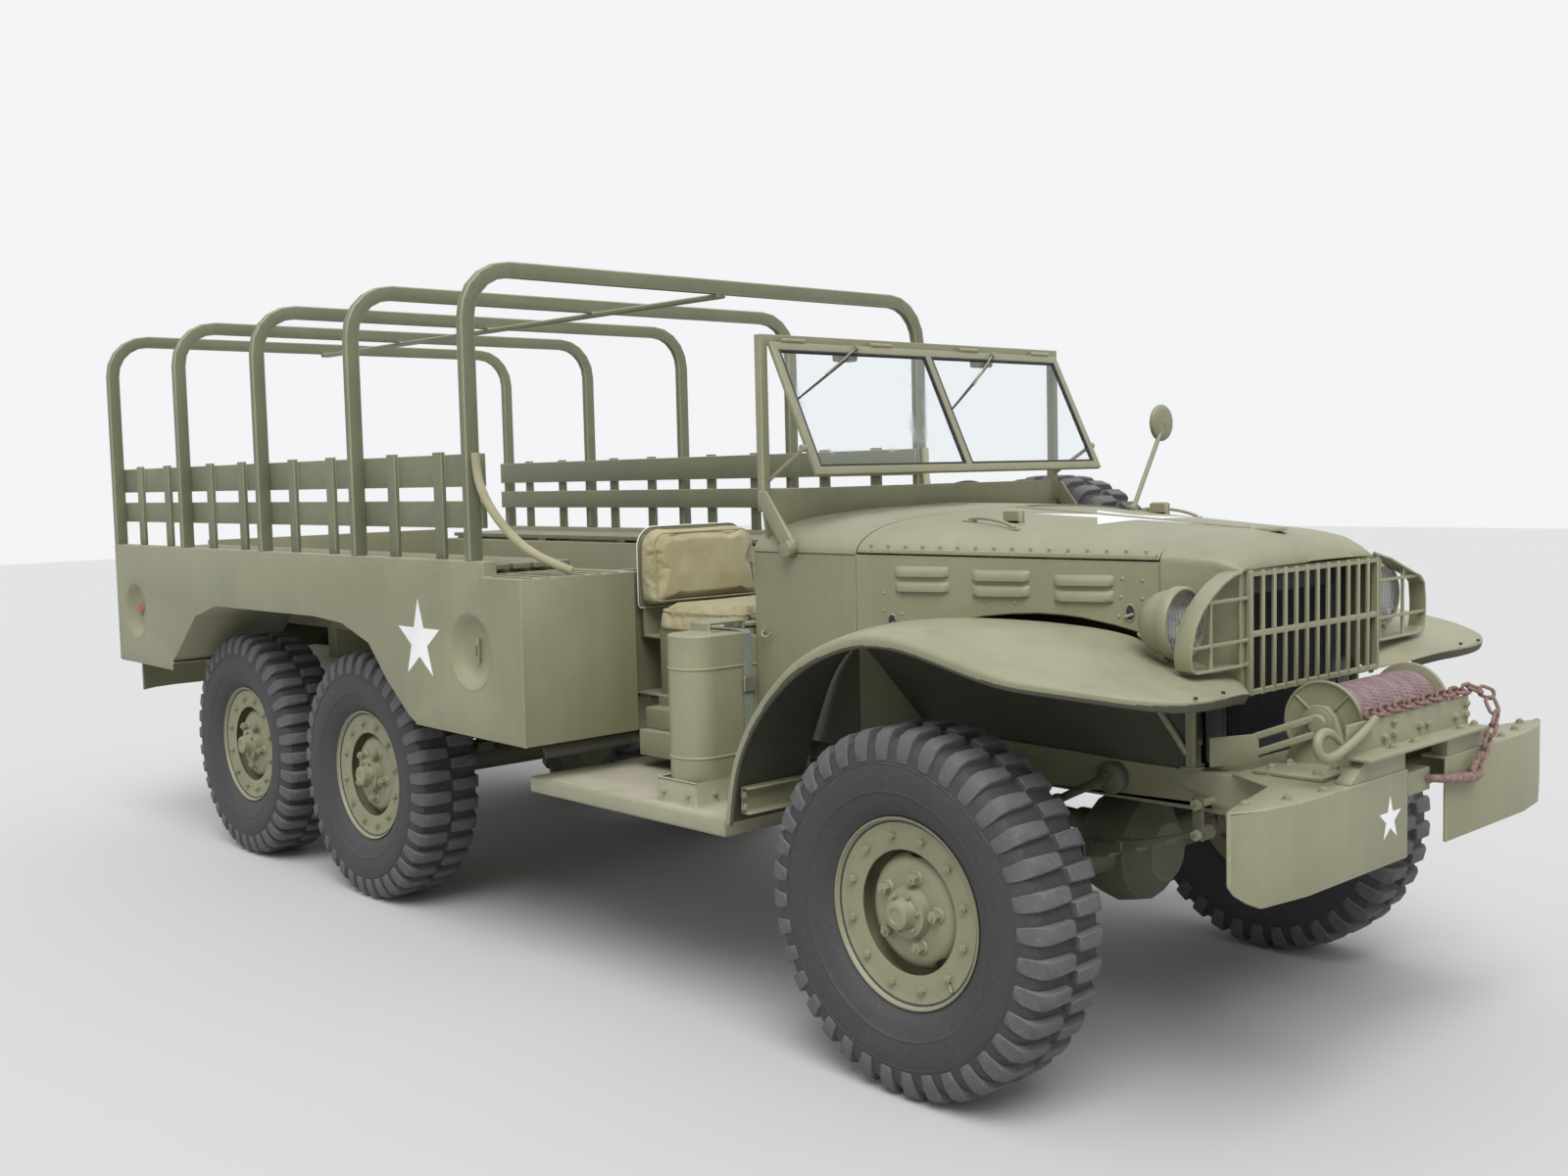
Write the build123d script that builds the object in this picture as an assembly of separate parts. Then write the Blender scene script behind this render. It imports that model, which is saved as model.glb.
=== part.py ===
from build123d import *
from math import cos, sin, pi, radians, sqrt, hypot
import os

# Six-wheeled cargo truck with an open cab, in millimetres.
# +X is forward, +Y is the truck's left, +Z is up; the origin is on the ground under the middle of the truck.
os.makedirs("parts", exist_ok=True)

# Running gear
front_axle_x = 1977.5
wheelbase = 3175.0              # front axle to the middle of the rear pair
axle_spread = 1016.0            # between the two rear axles
track_half = 822.0              # middle of the truck to the middle of a tyre
axle_z = 454.0                  # height of the wheels' middles
lugs_per_side = 14
tread_steps = 2 * lugs_per_side             # lugs of the two sides take turns
tyre_radius = axle_z / cos(pi / tread_steps)        # to the lugs' corners; their flat faces stand on the ground
lug_height = 16.0
tyre_half = 125.0               # half of a tyre's width
shoulder_half = 106.0           # half width of the tread between lugs
lug_shoulder_half = 115.0       # half width across the lugs
band_half = 4.0                 # plain band round the middle of the tread
widest_radius = 335.0           # where a tyre is widest
rim_seat_radius = 204.0
rim_flange_radius = 236.0
rim_half = 88.0
ring_out = 74.0                 # outer face of the bolted ring
ring_inner_radius = 154.0
hand_holes = 5
wheel_sides = 20                # turned wheels are many-sided, to stay light
fit_gap = 0.3                   # between pieces that fit in each other
drum_radius = 166.0
hub_radius = 62.0
cap_radius = 36.0
cap_reach = 118.0               # hub cap's end, out from the wheel's middle plane
disc_out = 60.0                 # outer face of the dished wheel disc
disc_foot = 6.0                 # where the dish meets the ring
spindle_radius = 32.0
axle_tube_radius = 48.0
kingpin_y = 680.0
kingpin_radius = 12.0
ball_radius = 70.0              # ball at each end of the front axle
steer_arm = 170.0               # kingpin to tie rod pin, straight back

bogie_x = front_axle_x - wheelbase
mid_axle_x = bogie_x + axle_spread / 2
rear_axle_x = bogie_x - axle_spread / 2

# Frame
rail_out_y = 400.0
rail_width = 60.0
rail_wall = 6.0
rail_top = 800.0
rail_bottom = 660.0
horn_top = 788.0                # the rails' thinner front ends
horn_bottom = 692.0
frame_front_x = 2774.0
frame_rear_x = -2690.0

# Cargo body
body_half = 1054.0
body_front_x = 580.5
body_rear_x = -2692.5
bed_half = 620.0
bed_floor_z = 930.0
deck_z = 1222.0
sheet = 6.0
side_bottom_front = 716.0
side_bottom_rear = 752.0
bulkhead_x = 450.0
rail_strip_top = 1270.0
rail_strip_front_x = 377.0
rail_strip_width = 52.0
arch_top_z = 1044.0
gate_hinge_x = body_rear_x - 14.0
gate_hinge_z = bed_floor_z - 8.0
gate_hinge_y = 400.0
gate_pin = 5.0
gate_barrel = 9.0
hinge_half = 40.0               # half length of a tailgate hinge's barrel
seat_hinge_y = body_half - 94.0
seat_in_y = bed_half + 20.0     # inner and outer edges of the troop seats' slats
seat_out_y = seat_hinge_y - 24.0
slat_gap = 16.0
slat_pitch = (seat_out_y - seat_in_y + slat_gap) / 4
seat_hinge_z = deck_z + 15.0
seat_pin = 4.0
seat_barrel = 7.0
seat_barrel_half = 30.0
ear = 8.0                       # thickness of the ears that hold a hinge pin

# Bows and side racks
bow_count = 5
first_bow_x = 292.0
bow_pitch = 741.0
bow_top_z = 2200.0
bow_corner = 185.0
bow_depth = 50.0                # in the plane of the bow
bow_width = 32.0
slat_thick = 20.0

# Cab
cowl_rear_x = 1200.5
cowl_half = 670.0
hood_rear_x = 1603.5
nose_x = 2367.0                 # seam between hood and nose
grille_x = 2557.5
seam_z_rear = 1306.0            # side seam under the hood
seam_z_nose = 1290.0
seam_low_rear = 1070.0          # lower edge of the hood sides
seam_low_nose = 1028.0
crown_z_rear = 1405.0           # hood's hinge line
crown_z_nose = 1350.0
nose_half = 400.0
grille_half = 312.0
panel = 5.0                     # thickness of a sheet panel with its stiffening
floor_z = 821.0
floor_half = 545.0              # beside the seats; full width only under the cowl
running_board_z = 600.0
windshield_x = 1234.5
windshield_half = 672.0
windshield_top = 1909.0
vent_angle = 26.0               # glass frame, swung out at the bottom


def block(x0, x1, y0, y1, z0, z1):
    return Pos((x0 + x1) / 2, (y0 + y1) / 2, (z0 + z1) / 2) * Box(abs(x1 - x0), abs(y1 - y0), abs(z1 - z0))


def side_plate(points, y0, y1):
    # outline of (x, z) points, between two places across the truck
    face = Face(Wire.make_polygon([Vector(x, y0, z) for x, z in points], close=True))
    return Solid.extrude(face, Vector(0, y1 - y0, 0))


def flat_plate(points, z0, z1):
    # outline of (x, y) points, between two heights
    face = Face(Wire.make_polygon([Vector(x, y, z0) for x, y in points], close=True))
    return Solid.extrude(face, Vector(0, 0, z1 - z0))


def cross_plate(points, x0, x1):
    # outline of (y, z) points, between two places along the truck
    face = Face(Wire.make_polygon([Vector(x0, y, z) for y, z in points], close=True))
    return Solid.extrude(face, Vector(x1 - x0, 0, 0))


def rod(start, end, radius):
    start, end = Vector(*start), Vector(*end)
    plane = Plane(origin=start, z_dir=end - start)
    return Solid.make_cylinder(radius, (end - start).length, plane)


def bar(start, end, width, height):
    # square-cut bar between two points
    start, end = Vector(*start), Vector(*end)
    plane = Plane(origin=start, z_dir=end - start)
    face = plane * Rectangle(width, height)
    return Solid.extrude(face.faces()[0], end - start)


def turned(profile, sides, centre, axis=1):
    # many-sided turning about an axis along Y (1) or X (0) or Z (2); profile is (along, radius),
    # either closed or with its first and last points on the axis
    def point(along, radius, k):
        a = 2 * pi * k / sides
        u, v = radius * sin(a), radius * cos(a)
        if axis == 1:
            p = (u, along, v)
        elif axis == 0:
            p = (along, u, v)
        else:
            p = (u, v, along)
        return Vector(*p) + Vector(*centre)

    faces = []
    n = len(profile)
    on_axis = profile[0][1] == 0
    spans = [(profile[i], profile[i + 1]) for i in range(n - 1)]
    if not on_axis:
        spans.append((profile[-1], profile[0]))
    for (a0, r0), (a1, r1) in spans:
        if r0 == 0 and r1 == 0:
            continue
        if r0 == 0 or r1 == 0:
            ring = [point(a0 if r1 == 0 else a1, max(r0, r1), k) for k in range(sides)]
            faces.append(Face(Wire.make_polygon(ring, close=True)))
            continue
        for k in range(sides):
            quad = [point(a0, r0, k), point(a0, r0, k + 1), point(a1, r1, k + 1), point(a1, r1, k)]
            faces.append(Face(Wire.make_polygon(quad, close=True)))
    solid = Solid(Shell(faces))
    return solid if solid.volume > 0 else Solid(Shell([-f for f in faces]))


def strip_loft(stations):
    # ruled loft through closed outlines of 3D points
    return loft([Face(Wire.make_polygon([Vector(*p) for p in s], close=True)) for s in stations], ruled=True)


def mirrored(shape):
    return shape.mirror(Plane.XZ)


def both_sides(shape):
    return [shape, mirrored(shape)]


def joined(shapes):
    shapes = list(shapes)
    return shapes[0].fuse(*shapes[1:]) if len(shapes) > 1 else shapes[0]


def save(name, *shapes):
    solids = [s for shape in shapes for s in shape.solids()]
    export_step(Compound(children=solids) if len(solids) > 1 else solids[0], f"parts/{name}.step")


# Tyres and wheels
def make_tyre():
    # ring by ring round the axle; a step has a lug on one side and bare tread on the other
    root = tyre_radius - lug_height
    bore = (rim_seat_radius + fit_gap) / cos(pi / tread_steps)
    bead = (rim_half - 14, bore)
    wide = (tyre_half, widest_radius)
    edge = (shoulder_half, root)
    band = (band_half, root)
    lug_foot = (band_half, tyre_radius)
    lug_edge = (lug_shoulder_half, tyre_radius)

    def point(spot, side, k):
        a = 2 * pi * (k - 0.5) / tread_steps
        return Vector(spot[1] * sin(a), side * spot[0], spot[1] * cos(a))

    def face(points):
        return Face(Wire.make_polygon(points, close=True))

    def span(start, start_side, end, end_side, k):
        return face([point(start, start_side, k), point(start, start_side, k + 1), point(end, end_side, k + 1),
                     point(end, end_side, k)])

    faces = []
    for k in range(tread_steps):
        lug_side = 1 if k % 2 == 0 else -1
        faces.append(span(bead, 1, bead, -1, k))
        faces.append(span(band, 1, band, -1, k))
        for side in (1, -1):
            faces.append(span(bead, side, wide, side, k))
        faces.append(span(wide, -lug_side, edge, -lug_side, k))
        faces.append(span(edge, -lug_side, band, -lug_side, k))
        faces.append(span(wide, lug_side, lug_edge, lug_side, k))
        faces.append(span(lug_edge, lug_side, lug_foot, lug_side, k))
        faces.append(span(lug_foot, lug_side, band, lug_side, k))
        for side in (1, -1):
            faces.append(face([point(spot, side, k) for spot in (band, lug_foot, lug_edge, wide, edge)]))
    solid = Solid(Shell(faces))
    return solid if solid.volume > 0 else Solid(Shell([-f for f in faces]))


def make_wheel():
    profile = [
        (cap_reach, 0), (cap_reach, cap_radius), (disc_out + 24, cap_radius + 4), (disc_out + 20, hub_radius),
        (disc_out, hub_radius + 4), (disc_out - 4, 112), (disc_foot, 148), (ring_out - 7, ring_inner_radius),
        (ring_out, ring_inner_radius + 3), (ring_out, 220), (rim_half, rim_flange_radius),
        (rim_half - 12, rim_seat_radius), (-rim_half + 12, rim_seat_radius), (-rim_half, rim_flange_radius),
        (-rim_half + 8, rim_seat_radius - 7), (-8, rim_seat_radius - 7), (-8, drum_radius), (-38, drum_radius), (-38, 0)]
    body = turned(profile, wheel_sides, (0, 0, 0))
    bore = Pos(0, -24.5, 0) * Rot(90, 0, 0) * Cylinder(spindle_radius + fit_gap, 29)
    pocket = block(-30, 30, 4, disc_out + 10, 118, 142)
    pockets = [Rot(0, k * 360 / hand_holes, 0) * pocket for k in range(hand_holes)]
    return body - joined([bore] + pockets)


tyre_shape = make_tyre()
wheel_shape = make_wheel()
wheel_places = [
    # name, x
    ("front", front_axle_x),
    ("middle", mid_axle_x),
    ("rear", rear_axle_x)]
for place, x in wheel_places:
    for side_name, side in (("left", 1), ("right", -1)):
        wheel = wheel_shape if side == 1 else mirrored(wheel_shape)
        tyre = tyre_shape if side == 1 else mirrored(tyre_shape)
        save(f"wheel_{place}_{side_name}", Pos(x, side * track_half, axle_z) * wheel)
        save(f"tyre_{place}_{side_name}", Pos(x, side * track_half, axle_z) * tyre)

# Spare wheel on its carrier, left of the driver's opening
spare_x = 1042.0
spare_y = 925.0
spare_z = 1036.0
save("spare_wheel", Pos(spare_x, spare_y, spare_z) * wheel_shape)
save("spare_tyre", Pos(spare_x, spare_y, spare_z) * tyre_shape)
carrier_in = 664.3
carrier_out = 692.0
carrier = joined([
    block(spare_x - 30, spare_x + 30, carrier_in, carrier_out, 640, spare_z + 30),
    block(spare_x - 60, spare_x + 60, carrier_out - 1, carrier_out + 9, spare_z - 60, spare_z + 60),
    rod((spare_x, carrier_out, spare_z), (spare_x, spare_y - 10.3, spare_z), spindle_radius),
    block(spare_x - 40, spare_x + 40, rail_out_y, carrier_out, 660, 699)])
save("spare_carrier", carrier)

# Axles
def axle_end(y):
    return turned([(y, 0), (y, spindle_radius), (y - 47, spindle_radius), (y - 47, 165), (y - 53, 165),
                   (y - 53, axle_tube_radius + 8), (y - 75, axle_tube_radius), (0, axle_tube_radius), (0, 0)],
                  wheel_sides, (0, 0, 0))


def housing(radius, y, reach):
    # banjo housing with its flat cover towards +X when reach is positive
    return turned([(-reach, 0), (-reach, radius * 0.45), (-reach * 0.55, radius * 0.9), (0, radius),
                   (reach * 0.55, radius * 0.9), (reach, radius * 0.5), (reach, 0)], 16, (0, y, 0), axis=0)


spindle_end = track_half - 10.3
rear_parts = []
for x in (mid_axle_x, rear_axle_x):
    half_axle = axle_end(spindle_end)
    body = joined(both_sides(half_axle) + [housing(158, 30, 120)])
    seats = [block(-45, 45, s * 430 - 35, s * 430 + 35, 30, 63) for s in (1, -1)]
    rear_parts.append(Pos(x, 0, axle_z) * joined([body] + seats))
save("rear_axles", *rear_parts)

ball = turned([(760 - 42, 0), (760 - 45, 55), (kingpin_y, ball_radius), (kingpin_y - 40, 58), (600, axle_tube_radius),
               (0, axle_tube_radius), (0, 0)], wheel_sides, (0, 0, 0))
pin_hole = Pos(0, kingpin_y, 0) * Cylinder(kingpin_radius + fit_gap, 2 * ball_radius + 20)
pin_core = Pos(0, kingpin_y, 0) * Cylinder(kingpin_radius + 5, 76)
ball = ball - pin_hole + pin_core
front_seats = [block(-60, 60, s * 430 - 35, s * 430 + 35, 30, 65) for s in (1, -1)]
save("front_axle", Pos(front_axle_x, 0, axle_z) * joined(both_sides(ball) + [housing(158, 30, 125)] + front_seats))

# Steering knuckles, with the arms straight back to the tie rod
fork_z = ball_radius + 8
fork_thick = 15.0
tie_pin_drop = 28.0
wall_y = kingpin_y + 76


def make_knuckle():
    wall = block(-75, 75, wall_y, wall_y + 12, -fork_z - fork_thick, fork_z + fork_thick)
    plate = [(-48, kingpin_y - 40), (48, kingpin_y - 40), (60, wall_y + 6), (-60, wall_y + 6)]
    top = flat_plate(plate, fork_z, fork_z + fork_thick)
    low = flat_plate(plate, -fork_z - fork_thick, -fork_z)
    arm = flat_plate([(-40, kingpin_y - 24), (-steer_arm - 20, kingpin_y - 20), (-steer_arm - 20, kingpin_y + 20),
                      (-40, kingpin_y + 24)], -fork_z - fork_thick, -fork_z)
    spindle = turned([(wall_y + 6, 0), (wall_y + 6, 150), (wall_y + 12, 150), (wall_y + 12, spindle_radius),
                      (spindle_end, spindle_radius), (spindle_end, 0)], wheel_sides, (0, 0, 0))
    pins = [Pos(0, kingpin_y, s * (fork_z + 40) / 2) * Cylinder(kingpin_radius, fork_z - 38) for s in (1, -1)]
    tie_pin = Pos(-steer_arm, kingpin_y, -fork_z - fork_thick - tie_pin_drop / 2) * Cylinder(8, tie_pin_drop + 2)
    return joined([wall, top, low, arm, spindle, tie_pin] + pins)


knuckle = Pos(front_axle_x, 0, axle_z) * make_knuckle()
save("knuckle_left", knuckle)
save("knuckle_right", mirrored(knuckle))

tie_z = axle_z - fork_z - fork_thick - tie_pin_drop / 2
tie_x = front_axle_x - steer_arm
tie_eyes = [Pos(tie_x, s * kingpin_y, tie_z) * (Cylinder(22, 20) - Cylinder(8 + fit_gap, 30)) for s in (1, -1)]
tie_rod = joined(tie_eyes + [rod((tie_x, -kingpin_y + 18, tie_z), (tie_x, kingpin_y - 18, tie_z), 9)])
save("tie_rod", tie_rod)

# Frame
rail_outline = [(frame_rear_x, 700), (-2300, rail_bottom), (1500, rail_bottom), (1900, horn_bottom),
                (frame_front_x, horn_bottom), (frame_front_x, horn_top), (2300, horn_top), (1800, rail_top),
                (frame_rear_x, rail_top)]
rail_inside = [(frame_rear_x - 10, 706), (-2300, rail_bottom + 6), (1500, rail_bottom + 6), (1900, horn_bottom + 6),
               (frame_front_x + 10, horn_bottom + 6), (frame_front_x + 10, horn_top - 6), (2300, horn_top - 6),
               (1800, rail_top - 6), (frame_rear_x - 10, rail_top - 6)]
rail = side_plate(rail_outline, rail_out_y - rail_width, rail_out_y) - side_plate(
    rail_inside, rail_out_y - rail_width - 1, rail_out_y - rail_wall)
cross_members = [
    # x, lowest z, highest z
    (2700, 692, 760), (2440, 700, 780), (1450, 660, 700), (1120, 660, 690), (430, 760.3, 794), (-40, 670, 790),
    (bogie_x, 665, 795), (-1980, 670, 790), (-2640, 710, 794)]
web_y = rail_out_y - rail_wall + 1
members = [block(x - 30, x + 30, -web_y, web_y, z0, z1) for x, z0, z1 in cross_members]
trunnion_z = 600.0
trunnion = rod((bogie_x, rail_out_y - 5, trunnion_z), (bogie_x, 468, trunnion_z), 30)
trunnion_plate = side_plate([(bogie_x - 110, 700), (bogie_x - 40, trunnion_z - 40), (bogie_x + 40, trunnion_z - 40),
                             (bogie_x + 110, 700)], rail_out_y - 8, rail_out_y + 8)
spring_eye_rear = (1462.0, 640.0)
shackle_top = (2505.0, 722.0)
shackle_low = (2505.0, 650.0)
hanger = side_plate([(1400, 700), (1500, 700), (spring_eye_rear[0] + 30, 615), (spring_eye_rear[0] - 30, 615)],
                    rail_out_y - 4, rail_out_y + 8)
hanger_pin = rod((spring_eye_rear[0], rail_out_y, spring_eye_rear[1]),
                 (spring_eye_rear[0], rail_out_y + 58, spring_eye_rear[1]), 9)
shackle_pin = rod((shackle_top[0], rail_out_y - 5, shackle_top[1]), (shackle_top[0], rail_out_y + 66, shackle_top[1]), 9)
tow_block = block(2729, 2824, -58, 52, 722, 778)
outrigger = joined([block(1413, 1419, rail_out_y - 3, 930, 620, 693), block(1413, 1448, rail_out_y - 3, 930, 687, 693),
                    block(1413, 1448, rail_out_y - 3, 930, 620, 626)])
save("frame", joined(both_sides(rail) + [tow_block] + members + both_sides(trunnion) + both_sides(trunnion_plate)
                     + both_sides(hanger) + both_sides(hanger_pin) + both_sides(shackle_pin) + both_sides(outrigger)))

# Leaf springs
spring_y = 430.0
spring_width = 44.0
leaf_thick = 9.0
leaf_step = 0.16                # each leaf is shorter than the one before by this share of the main one


def leaf_pack(x_mid, z_mid, rise, half_span, leaves, direction):
    # the whole pack in one stepped outline; direction 1 puts the shorter leaves below the main one, -1 above it
    reaches = [half_span * (1 - leaf_step * k) for k in range(leaves)] + [0]
    main_face, step_face = [], []
    for k, reach in enumerate(reaches):
        z = rise * (reach / half_span) ** 2
        main_face.append((reach, z))
        if k:
            step_face.append((reach, z - direction * k * leaf_thick))
        if k < leaves:
            step_face.append((reach, z - direction * (k + 1) * leaf_thick))
    lift = z_mid if direction == 1 else z_mid - leaf_thick
    half_outline = list(reversed(main_face)) + step_face
    outline = [(x_mid + x, lift + z) for x, z in half_outline]
    outline += [(x_mid - x, lift + z) for x, z in reversed(half_outline[1:-1])]
    return side_plate(outline, spring_y - spring_width / 2, spring_y + spring_width / 2)


front_top = axle_z + 65 + 5 * leaf_thick
front_pack = leaf_pack(front_axle_x, front_top, 650 - front_top + 6, 520, 5, 1)
eye_holes = [rod((x, rail_out_y + 2, z), (x, rail_out_y + 60, z), 9 + fit_gap)
             for x, z in (spring_eye_rear, shackle_low)]
eyes = [rod((x, spring_y - spring_width / 2, z), (x, spring_y + spring_width / 2, z), 17)
        for x, z in (spring_eye_rear, shackle_low)]
front_spring = joined([front_pack] + eyes)
front_spring = front_spring - joined(eye_holes)
shackle_y = spring_y + spring_width / 2 + 2
shackle = joined([block(2505 - 14, 2505 + 14, shackle_y, shackle_y + 8, 636, 738),
                  rod((2505, spring_y - spring_width / 2, 650), (2505, shackle_y + 4, 650), 9)])
shackle = shackle - rod((2505, 400, shackle_top[1]), (2505, 500, shackle_top[1]), 9 + fit_gap)
rear_low = axle_z + 63.3
rear_pack = leaf_pack(bogie_x, trunnion_z + 42, rear_low + leaf_thick - trunnion_z - 42, axle_spread / 2 + 30, 6, -1)
saddle = block(bogie_x - 60, bogie_x + 60, rail_out_y + 8 + fit_gap, spring_y + 26, trunnion_z - 45, trunnion_z + 36)
saddle = saddle - rod((bogie_x, 380, trunnion_z), (bogie_x, 520, trunnion_z), 30 + fit_gap)
rear_spring = joined([rear_pack, saddle])
save("leaf_springs", *both_sides(front_spring), *both_sides(shackle), *both_sides(rear_spring))

# Engine, gearbox and shafts
engine = joined([block(1620, 2300, -210, 210, 800.3, 1150), block(1640, 2280, -150, 150, 640, 801)])
engine_feet = [block(1650, 1700, s * 205, s * 385, rail_top + fit_gap, 830) for s in (1, -1)]
save("engine", joined([engine] + engine_feet))
radiator = block(2400, 2462, -285, 285, 780, 1240)
save("radiator", radiator)
gearbox = joined([block(1180, 1619.7, -110, 110, 700.3, 797), block(1500, 1619.7, -110, 110, 640, 701)])
transfer_case = block(300, 560, -120, 160, 500, 760)
shaft_radius = 28.0
yoke_radius = 38.0
yoke_long = 50.0
shaft_z = 500.0                 # at the axle housings
front_reach, rear_reach = 125.0, 120.0      # housings' half lengths along the truck
shaft_rows = [
    # start x, y, z, end x, y, z, with a yoke at each end
    (560, 90, 560, front_axle_x - front_reach - fit_gap, 30, shaft_z),
    (560, 0, 730, 1180, 0, 740),
    (300, 30, 560, mid_axle_x + rear_reach + fit_gap, 30, shaft_z),
    (mid_axle_x - rear_reach - fit_gap, 30, shaft_z, rear_axle_x + rear_reach + fit_gap, 30, shaft_z)]


def drive_shaft(x0, y0, z0, x1, y1, z1):
    step = yoke_long if x1 > x0 else -yoke_long
    return joined([rod((x0, y0, z0), (x0 + step, y0, z0), yoke_radius), rod((x1 - step, y1, z1), (x1, y1, z1), yoke_radius),
                   rod((x0 + 0.8 * step, y0, z0), (x1 - 0.8 * step, y1, z1), shaft_radius)])


shafts = [drive_shaft(*row) for row in shaft_rows]
save("driveline", joined([gearbox, transfer_case, shafts[0], shafts[1], shafts[2]]), shafts[3])
muffler = rod((700, -250, 580), (1250, -250, 580), 68)
pipe_rows = [
    # start x, y, z, end x, y, z
    (1250, -250, 580, 1690, -250, 580), (1690, -250, 580, 1760, -185, 640), (1760, -185, 640, 1760, -185, 800),
    (700, -250, 580, 60, -250, 590), (60, -250, 590, -60, -560, 560)]
pipes = [rod((x0, y0, z0), (x1, y1, z1), 22) for x0, y0, z0, x1, y1, z1 in pipe_rows]
save("exhaust", joined([muffler] + pipes))
save("fuel_tank", block(-2660, -2020, -330, 330, 560, 710 - fit_gap))

# Radiator grille and lamp guards
bar_count = 13
grille_low = 968.0
grille_high = 1263.0
bar_step = 2 * grille_half / (bar_count - 1)
grille_bars = [block(grille_x - 12, grille_x + 4, -grille_half + k * bar_step - 6, -grille_half + k * bar_step + 6,
                     grille_low, grille_high) for k in range(bar_count)]
cross_bars = [block(grille_x - 14, grille_x + 2, -grille_half, grille_half, z - 7, z + 7)
              for z in (grille_low + 6, 1113, grille_high - 6)]
hoop_outline = [(345, 1277), (400, 1275), (465, 1260), (520, 1236), (571, 1203), (607, 1162), (627, 1118), (628, 1083),
                (615, 1050), (580, 1040), (345, 1038)]
hoop_inner = [(345, 1271), (398, 1269), (463, 1254), (516, 1231), (566, 1199), (601, 1159), (621, 1116), (622, 1084),
              (610, 1055), (578, 1046), (345, 1044)]
hoop = cross_plate(hoop_outline + list(reversed(hoop_inner)), grille_x - 46, grille_x)
hoop_rods = [block(grille_x - 12, grille_x - 4, grille_half, y1, z - 4, z + 4)
             for y1, z in ((350, 1274), (622, 1100), (566, 1200), (350, 1042))]
hoop_post = block(grille_x - 12, grille_x - 4, 470, 478, 1041, 1252)
guard = joined(grille_bars + cross_bars + both_sides(joined([hoop, hoop_post] + hoop_rods)))
save("grille_guard", guard)

# Front fenders: each row is a station along the fender, outer edge then inner edge
fender_rows = [
    # outer x, y, z, inner x, y, z, crown
    (1389, 970, 590, 1389, 690, 590, 0),
    (1410, 970, 723, 1412, 690, 725, 0),
    (1454, 970, 828, 1464, 684, 850, 1),
    (1536, 970, 934, 1512, 674, 985, 6),
    (1634, 970, 1019, 1603, 671, 1075, 14),
    (1745, 970, 1084, 1740, 623.0, 1125, 20),
    (1918, 970, 1138, 1910, 562.9, 1137, 22),
    (2080, 968, 1118, 2060, 509.8, 1140, 20),
    (2292, 965, 1060, 2230, 449.5, 1124, 14),
    (2400, 945, 1051, 2310, 421.2, 1106, 10),
    (2510, 900, 1040, 2385, 393.5, 1072, 6),
    (2590, 850, 1027, 2440, 370.2, 1050, 2),
    (2635, 795, 1017, 2475, 355.4, 1033, 1),
    (2657, 730, 1009, 2502, 344.0, 1023, 1),
    (2660, 650, 1006, 2524, 334.9, 1012, 2),
    (2657, 570, 1004, 2540, 328.0, 1000, 2),
    (2645, 490, 1000, 2552, 323.0, 985, 2),
    (2610, 400, 985, 2560, 319.0, 968, 1)]


def fender_section(k):
    row = fender_rows[k]
    before = fender_rows[max(k - 1, 0)]
    after = fender_rows[min(k + 1, len(fender_rows) - 1)]
    outer, inner = Vector(*row[:3]), Vector(*row[3:6])
    along = Vector(*after[:3]) + Vector(*after[3:6]) - Vector(*before[:3]) - Vector(*before[3:6])
    across = (outer - inner).normalized()
    normal = across.cross(along.normalized()).normalized()
    if normal.Z < 0 and k > 2 or normal.X > 0 and k <= 2:
        normal = -normal
    middle = inner + (outer - inner) * 0.55 + normal * row[6]
    lip = outer - normal * 28
    loop = [inner, middle, outer, lip, lip - across * panel, outer - normal * panel - across * panel,
            middle - normal * panel, inner - normal * panel]
    return [(p.X, p.Y, p.Z) for p in loop]


fender = strip_loft([fender_section(k) for k in range(len(fender_rows))])
stay_x = 2449.0
post_stay = block(stay_x - 16, stay_x + 16, rail_out_y - 8, rail_out_y + 8, horn_top, 1090)
slant_stay = bar((stay_x - 10, rail_out_y, 826), (2270, rail_out_y, 1044), 5, 22)
stays = [(stay - fender).solids().sort_by(Axis.Z)[0] for stay in (post_stay, slant_stay)]
splash_rows = [
    # x, top y, top z, foot z, along the hood side down to the rail
    (1607, 663.8, 1080, rail_top + fit_gap),
    (1800, 595.3, 1118, rail_top + fit_gap),
    (2050, 506.9, 1122, (rail_top + horn_top) / 2 + fit_gap),
    (2300, 418, 1094, horn_top + fit_gap),
    (2362, 396, 1072, horn_top + fit_gap)]
splash = strip_loft([[(x, y, z), (x, y - 4, z), (x, rail_out_y - 14, foot), (x, rail_out_y - 10, foot)]
                     for x, y, z, foot in splash_rows])
save("front_fenders", *both_sides(joined([fender] + stays)), *both_sides(splash))


# Lamps
lamp_y = 490.0
lamp_z = 1150.0
head_lamp = turned([(2385, 0), (2390, 40), (2420, 78), (2475, 88), (2492, 84), (2500, 0)], 20,
                   (0, lamp_y, lamp_z), axis=0)
lamp_post = rod((2440, lamp_y, 990), (2440, lamp_y, lamp_z - 70), 14) - fender
lamp_post = lamp_post.solids().sort_by(Axis.Z)[-1]
marker = turned([(2392, 0), (2402, 20), (2445, 33), (2458, 28), (2462, 0)], 14, (0, lamp_y, 1083), axis=0) - fender
marker = marker.solids().sort_by(Axis.Z)[-1]
tail_lamp = turned([(body_rear_x - 60, 0), (body_rear_x - 60, 36), (body_rear_x, 36), (body_rear_x, 0)], 14,
                   (0, 760, 900), axis=0)
save("lamps", *both_sides(joined([head_lamp, lamp_post, marker])), *both_sides(tail_lamp))

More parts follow.
